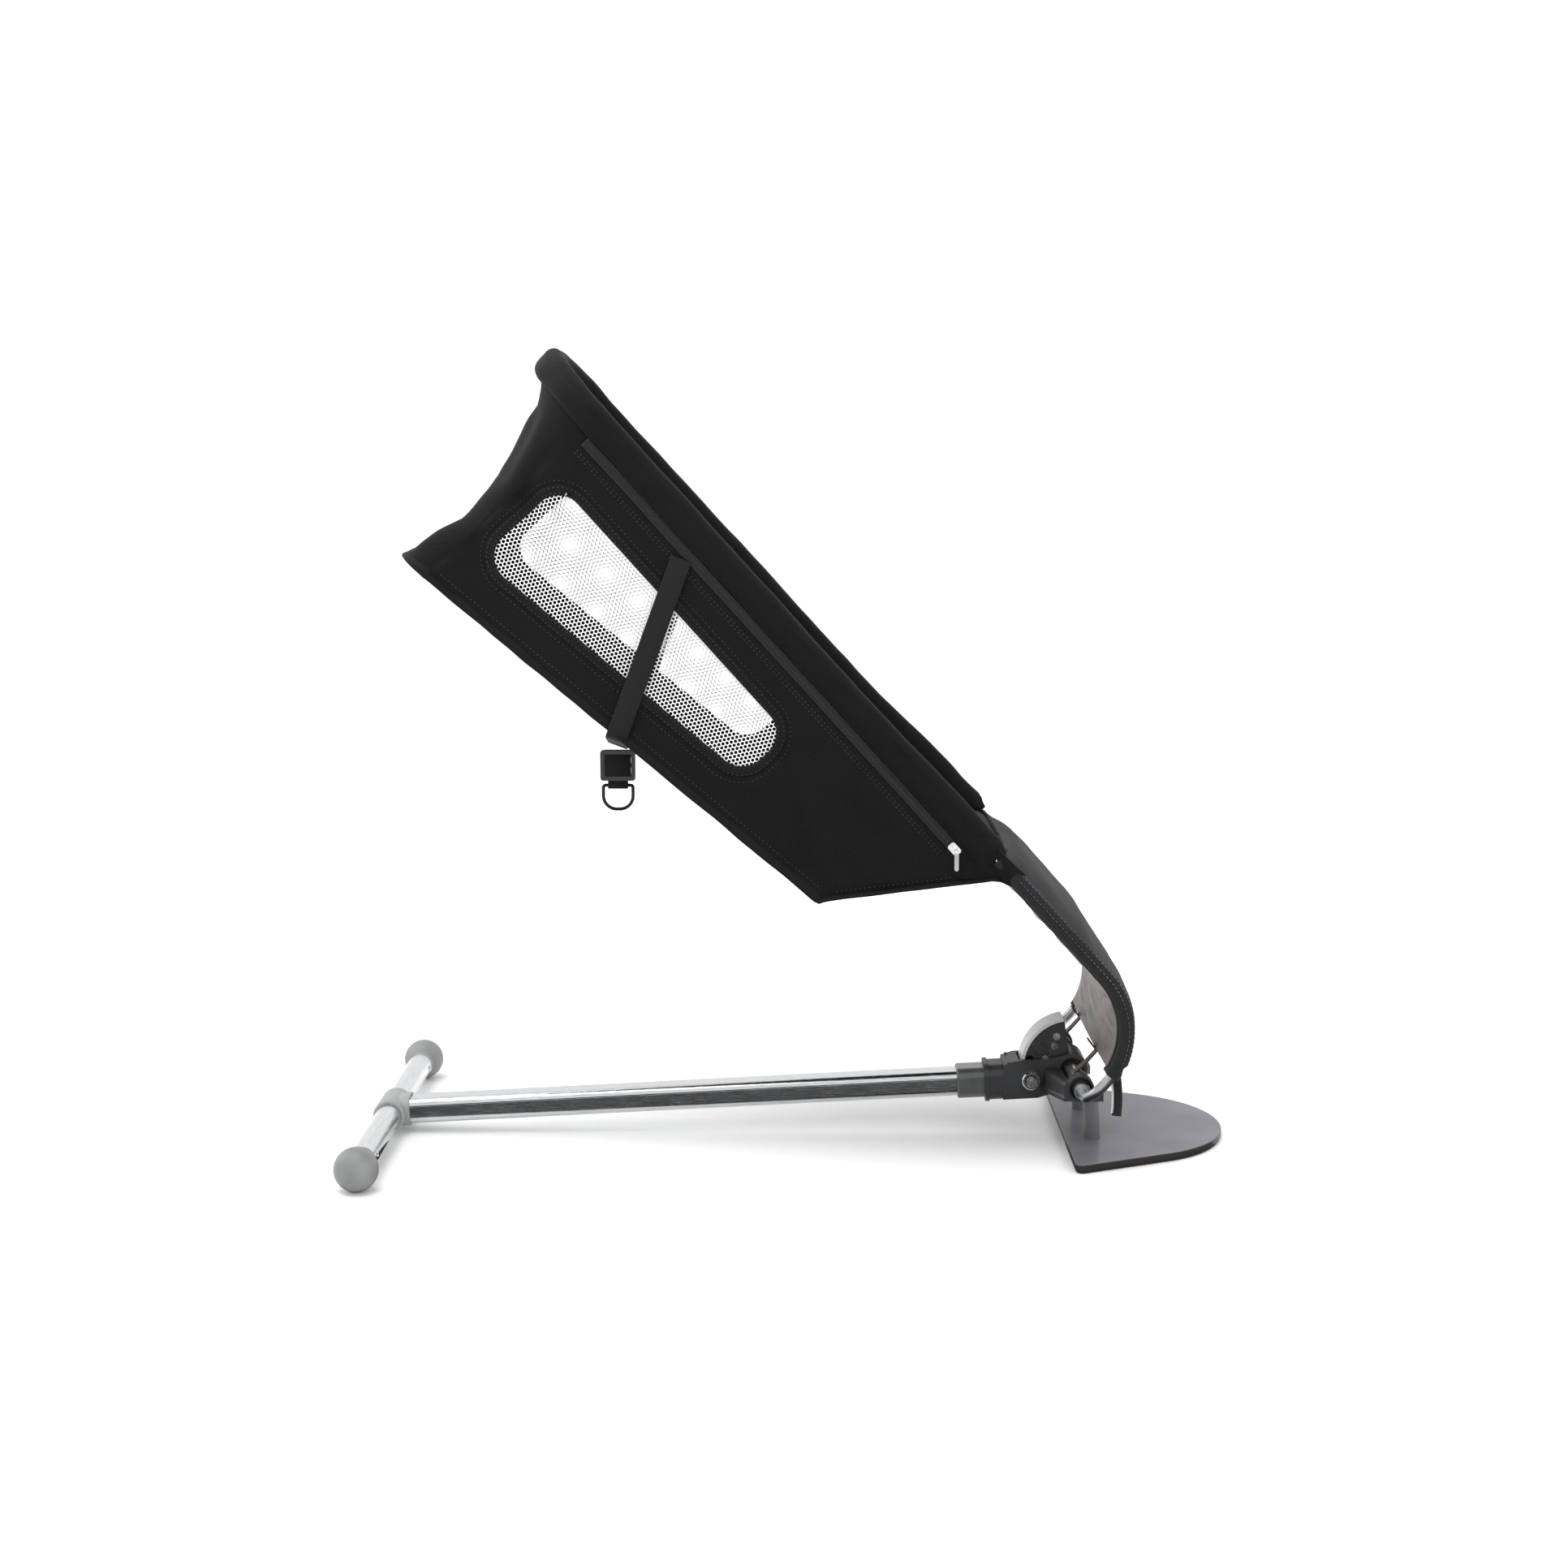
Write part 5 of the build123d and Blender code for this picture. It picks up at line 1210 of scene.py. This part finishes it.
# Knee gussets: folded bag cloth between the bag's front, the sleeve's end and the leg cover
gusset = {"rows": 34, "columns": 30, "start": 123.0, "end": 188.0, "high": -9.0, "thickness": 1.6}
gussetPieces = []
for side in (-1, 1):
    rows = []
    for r in range(gusset["rows"] + 1):
        t = gusset["start"] + (gusset["end"] - gusset["start"]) * r / gusset["rows"]
        low = between(t, [(123, 6), (140, 18), (158, 36), (175, 44), (188, 40)])
        row = []
        for c in range(gusset["columns"] + 1):
            f = c / gusset["columns"]
            d = gusset["high"] + (low - gusset["high"]) * f
            wrinkle = 1.8 * sin((t * 0.8 + d * 1.1) / 5.2 + 2 * ripple(t, d, side, 30, 2.2))
            wrinkle += 1.5 * ripple(t, d * 1.4, side, 12, 6.6)
            face = 9.4 + 2.6 * smooth((16 - d) / 18) * smooth((t - 120) / 20)
            ends = min(smooth((gusset["rows"] + 2 - r) / 8), smooth(1.6 * (1.05 - f)))
            row.append(seatPoint(t, d + wrinkle * 0.4, side * (halfWidth(t) + (face - 6.0) * ends
                                                               + 1.2 + wrinkle * ends)))
        rows.append(row)
    piece = sheetGrid("kneeGusset", rows, bagCloth, gusset["thickness"], 0.0)
    faceOut(piece)
    gussetPieces.append(piece)
for piece, name in zip(gussetPieces, ("kneeGussetRight", "kneeGussetLeft")):
    piece.name = name
    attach(piece, "seat")
print("knee gussets made")

# Tapes, straps and webbing

def joinPieces(pieces, name):
    bpy.ops.object.select_all(action="DESELECT")
    for piece in pieces:
        piece.select_set(True)
    bpy.context.view_layer.objects.active = pieces[0]
    bpy.ops.object.join()
    pieces[0].name = name
    pieces[0].select_set(False)
    return pieces[0]


straps = {"wide": 20.0, "thick": 1.6, "topAlong": 546.0, "topDepth": 31.0, "lowAlong": 466.0,
          "lowDepth": 186.0, "clear": 4.9, "sag": 21.0, "bend": 11.0}
strapTop = seatOrigin + along * straps["topAlong"] - out * straps["topDepth"]
strapRun = Vector((straps["lowAlong"] - straps["topAlong"], straps["lowDepth"] - straps["topDepth"]))
strapDown = (along * strapRun.x - out * strapRun.y).normalized()
strapLow = strapTop + strapDown * strapRun.length
strapMid = strapTop + strapDown * (strapRun.length + straps["sag"])
topReach = halfWidth(straps["topAlong"]) + straps["clear"]
lowReach = halfWidth(straps["lowAlong"]) + straps["clear"]
strapCorners = [strapTop + Vector((0, -topReach + 2.0, 0)) - strapDown * 2,
                strapTop + Vector((0, -topReach, 0)) + strapDown * 14,
                strapLow + Vector((0, -lowReach, 0)), strapMid,
                strapLow + Vector((0, lowReach, 0)),
                strapTop + Vector((0, topReach, 0)) + strapDown * 14,
                strapTop + Vector((0, topReach - 2.0, 0)) - strapDown * 2]
strapWay = Vector((0, 1, 0)).cross(strapDown).normalized()
strapLine = [p * mm for p in filletPath(strapCorners, [20, straps["bend"], 14, straps["bend"], 20],
                                        3.0)]
strapFrames = []
for i, point in enumerate(strapLine):
    ahead = strapLine[min(i + 1, len(strapLine) - 1)]
    behind = strapLine[max(i - 1, 0)]
    forward = (ahead - behind).normalized()
    strapFrames.append((point, strapWay, strapWay.cross(forward).normalized()))


def strapShape(i, run):
    twist = 0.5 * ripple(run / mm, 1, 1, 50, 4.0)
    return [(a, b + twist * a / 10) for a, b in
            roundedBar(straps["wide"] / 2, straps["thick"] / 2, 0.6, 2)]


supportStrap = sweepPiece("supportStrap", strapFrames, strapShape, blackWebbing)
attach(supportStrap, "seat")
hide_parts("support_strap")

# Ring loop: webbing from the adjuster's lower bar round the ring's straight side
loopLow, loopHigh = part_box("ring_loop")
ringX = (loopLow.x + loopHigh.x) / 2
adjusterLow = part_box("strap_adjuster")[0]
barZ = loopLow.z + (1.6 + 0.3 + 1.6) * mm
loopPoints = []
for k in range(19):
    angle = pi * (1.0 + k / 18)
    loopPoints.append(Vector((ringX, cos(angle) * 2.75 * mm, barZ + sin(angle) * 2.75 * mm)))
topZ = adjusterLow.z + 1.2 * mm
first = [Vector((ringX, -1.2 * mm, topZ)), Vector((ringX, -1.6 * mm, barZ + 5.0 * mm)),
         Vector((ringX, -2.6 * mm, barZ + 2.2 * mm))]
last = [Vector((ringX, 2.6 * mm, barZ + 2.2 * mm)), Vector((ringX, 1.6 * mm, barZ + 5.0 * mm)),
        Vector((ringX, 1.2 * mm, topZ))]
loopLine = first + loopPoints + last
loopFrames = []
for i, point in enumerate(loopLine):
    ahead = loopLine[min(i + 1, len(loopLine) - 1)]
    behind = loopLine[max(i - 1, 0)]
    forward = (ahead - behind).normalized()
    side = Vector((1, 0, 0))
    loopFrames.append((point, side, forward.cross(side).normalized()))
ringLoop = sweepPiece("ringLoop", loopFrames, roundedBar(9.6, 0.7, 0.3, 2), blackWebbing)
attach(ringLoop, "seat")
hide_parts("ring_loop")

# Strap threaded over the adjuster's bars, seen through its slots
adjLow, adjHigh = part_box("strap_adjuster")
midX, midZ = (adjLow.x + adjHigh.x) / 2, (adjLow.z + adjHigh.z) / 2
threadLine = [Vector((midX, 0, adjHigh.z + 0.2 * mm)), Vector((midX, -1.2 * mm, adjHigh.z - 3 * mm)),
              Vector((midX, -3.6 * mm, adjHigh.z - 8 * mm)), Vector((midX, -3.7 * mm, midZ)),
              Vector((midX, -3.6 * mm, adjLow.z + 8 * mm)), Vector((midX, -1.2 * mm, adjLow.z + 3 * mm)),
              Vector((midX, 0, adjLow.z + 0.6 * mm))]
threadFrames = pathFrames(threadLine, Vector((0, -1, 0)))
adjusterThread = sweepPiece("adjusterThread", threadFrames, roundedBar(12.9, 0.7, 0.3, 2),
                            blackWebbing)
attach(adjusterThread, "seat")

# Tie straps from the lining's hem round the axle
ties = {"at": 64.0, "wide": 12.0, "thick": 1.5, "loop": 9.6}
axlePoint = Vector((seatFrame["axle"][0], 0, seatFrame["axle"][1]))
hemCentre, hemWay = legFrame(startL)
hemPoint = hemCentre + hemWay * (-leg["liningOff"])
tiePieces = []
for side in (-1, 1):
    toward = (hemPoint - axlePoint).normalized()
    tangent = Vector((-toward.z, 0, toward.x))
    line = [hemPoint + hemWay * -1.5 + along * 12, hemPoint - toward * 2]
    reach = (hemPoint - axlePoint).length
    line.append(axlePoint + toward * (reach * 0.55) + tangent * 3.0)
    for k in range(17):
        angle = radians(50 - 280 * k / 16)
        line.append(axlePoint + toward * (ties["loop"] * cos(angle))
                    + tangent * (ties["loop"] * sin(angle)))
    points = [(p + Vector((0, side * ties["at"], 0))) * mm for p in line]
    frames = []
    for i, point in enumerate(points):
        ahead = points[min(i + 1, len(points) - 1)]
        behind = points[max(i - 1, 0)]
        forward = (ahead - behind).normalized()
        across = Vector((0, 1, 0))
        frames.append((point, across, forward.cross(across).normalized()))
    tiePieces.append(sweepPiece("tie" + str(side), frames,
                                roundedBar(ties["wide"] / 2, ties["thick"] / 2, 0.5, 2),
                                brownWebbing))
tieStraps = joinPieces(tiePieces, "tieStraps")
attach(tieStraps, "seat")
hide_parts("tie_straps")

# Tail of the leg zip: dark tape with pale teeth along its edge
tailLow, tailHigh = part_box("leg_zip_tail")
tailX = (tailLow.x + tailHigh.x) / 2
tailY = (tailLow.y + tailHigh.y) / 2
tailTop, tailEnd = tailHigh.z + 6 * mm, tailLow.z
tailLine = []
for k in range(15):
    f = k / 14
    tailLine.append(Vector((tailX + (2.2 * sin(f * 2.6) - 0.6) * mm,
                            tailY + 1.6 * sin(f * 3.4) * mm, tailTop + (tailEnd - tailTop) * f)))
tailFrames = pathFrames(tailLine, Vector((0, -1, 0)))
tailTape = sweepPiece("legZipTail", tailFrames, roundedBar(4.4, 0.55, 0.25, 2), zipTapeCloth)
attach(tailTape, "seat")
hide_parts("leg_zip_tail")
verts, faces = [], []
for k in range(2, 27):
    f = k / 28
    i = min(int(f * 14), 13)
    centre = tailLine[i].lerp(tailLine[i + 1], f * 14 - i) + tailFrames[i][1] * (4.6 * mm)
    base = len(verts)
    for a in (-1, 1):
        for b in (-1, 1):
            for c in (-1, 1):
                verts.append(centre + Vector((a * 0.9, b * 0.9, c * 0.42)) * mm)
    faces += [tuple(base + q for q in f4) for f4 in
              ((0, 1, 3, 2), (4, 6, 7, 5), (0, 4, 5, 1), (2, 3, 7, 6), (0, 2, 6, 4), (1, 5, 7, 3))]
tailTeeth = finishMesh("legZipTeeth", verts, faces, [(0, 0)] * len(verts), rimPlastic, False)
faceOut(tailTeeth)
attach(tailTeeth, "seat")

# Harness webbing
for name, node, wide in (("waistStraps", "waist_straps", 25.0), ("crotchStrap", "crotch_strap", 25.0)):
    b = bucket
    corner2 = Vector((b["cornerAlong"], b["cornerDepth"]))
    way = (Vector((b["headAlong"], b["headDepth"])) - corner2).normalized()
    up = (along * way.x - out * way.y).normalized()
    face = (along * way.y + out * way.x).normalized()
    low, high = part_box(node)
    pieces = []
    if node == "waist_straps":
        for side in (-1, 1):
            centre = (low + high) / 2
            yIn, yOut = high.y - 0.062, high.y
            points = []
            for k in range(9):
                f = k / 8
                point = Vector((centre.x, side * (yIn + (yOut - yIn) * f), centre.z))
                points.append(point + face * (1.6 * sin(pi * f) * mm))
            frames = []
            for i, point in enumerate(points):
                frames.append((point, up, face))
            pieces.append(sweepPiece("waist" + str(side), frames,
                                     roundedBar(wide / 2, 0.8, 0.4, 2), blackWebbing))
        piece = joinPieces(pieces, name)
    else:
        points = []
        padOrigin = seatPoint(232, 146) + face * (18.9 * mm)
        for k in range(13):
            f = k / 12
            rise = 3.0 + 4.4 * smooth(f * 1.3)
            points.append(padOrigin + up * ((14 + 36 * f) * mm) + face * (rise * mm))
        frames = [(p, Vector((0, 1, 0)), face) for p in points]
        piece = sweepPiece(name, frames, roundedBar(wide / 2, 0.8, 0.4, 2), blackWebbing)
    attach(piece, "seat")
    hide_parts(node)
print("straps made")

# Floor, light and camera

studio = {"worldStrength": 1.05, "keyPower": 40.0, "fillPower": 10.0,
          "rimPower": 12.0}
floorRowsStage = []
for k in range(60):
    f = k / 59
    if f < 0.5:
        y, z = -7 + f * 2 * 10.5, 0.0
    else:
        angle = (f - 0.5) * pi
        y, z = 3.5 + sin(angle) * 3.0, (1 - cos(angle)) * 3.0
    floorRowsStage.append([Vector((-9 + 18 * c / 4, y, z - 0.0003)) for c in range(5)])
sweepMaterial, sweepShader = startMaterial("paintedStudioSweep", Roughness=0.85,
                                           Specular_IOR_Level=0.0)
sweepPlace = addNode(sweepMaterial, "ShaderNodeTexCoord")
sweepNoise = addNode(sweepMaterial, "ShaderNodeTexNoise", values={"Scale": 3.0, "Detail": 3.0},
                     links={"Vector": sweepPlace.outputs["Object"]})
sweepColour = addNode(sweepMaterial, "ShaderNodeValToRGB", links={"Fac": sweepNoise.outputs["Fac"]},
                      stops=[(0.3, "#fdfdfd"), (0.7, "#ffffff")]).outputs[0]
sweepMaterial.node_tree.links.new(sweepColour, sweepShader.inputs["Base Color"])
studioFloor = sheetGrid("studioFloor", floorRowsStage, sweepMaterial, 0)

world = bpy.data.worlds.new("studioWorld")
bpy.context.scene.world = world
world.use_nodes = True
background = world.node_tree.nodes["Background"]
background.inputs["Strength"].default_value = studio["worldStrength"]
background.inputs["Color"].default_value = linear("#ffffff")

# A dark card in front, seen only in reflections: it gives the rail's side its dark band
flagMaterial = moulded("blackFlockedCard", "#0c0c0d", "#1a1a1b", 0.9, 2.0, 0.02)
flagCard = sheetGrid("flagCard", [[Vector((-0.42 + 0.9 * c / 4, -0.75 + 0.7 * r / 4, 0.0006))
                                   for c in range(5)] for r in range(5)], flagMaterial, 0)
flagCard.visible_camera = False
flagCard.visible_diffuse = False
flagCard.visible_shadow = False
flagCard.visible_transmission = False


def areaLight(name, place, target, size, power, colour="#ffffff"):
    data = bpy.data.lights.new(name, "AREA")
    data.shape = "RECTANGLE"
    data.size, data.size_y = size
    data.energy = power
    data.color = linear(colour)[:3]
    lamp = bpy.data.objects.new(name, data)
    bpy.context.scene.collection.objects.link(lamp)
    lamp.location = place
    lamp.rotation_euler = (Vector(target) - Vector(place)).to_track_quat("-Z", "Y").to_euler()
    return lamp


areaLight("keyTop", (-0.5, -0.4, 2.8), (0, 0, 0.2), (2.4, 2.0), studio["keyPower"])
areaLight("fillFront", (1.6, -2.6, 1.6), (0, 0, 0.3), (1.6, 1.2), studio["fillPower"])
areaLight("rimLeft", (-2.4, 0.8, 1.6), (0, 0, 0.3), (1.2, 1.6), studio["rimPower"])

cameraData = bpy.data.cameras.new("viewCamera")
cameraData.lens = 52.17
cameraData.sensor_width = 36.0
cameraData.clip_end = 40.0
camera = bpy.data.objects.new("viewCamera", cameraData)
camera.location = (0.0, -2.186, 0.664)
camera.rotation_euler = (radians(81.76), 0, radians(0.3))
bpy.context.scene.collection.objects.link(camera)
bpy.context.scene.camera = camera
bpy.context.scene.view_settings.view_transform = "Standard"
print("stage, lights and camera made")
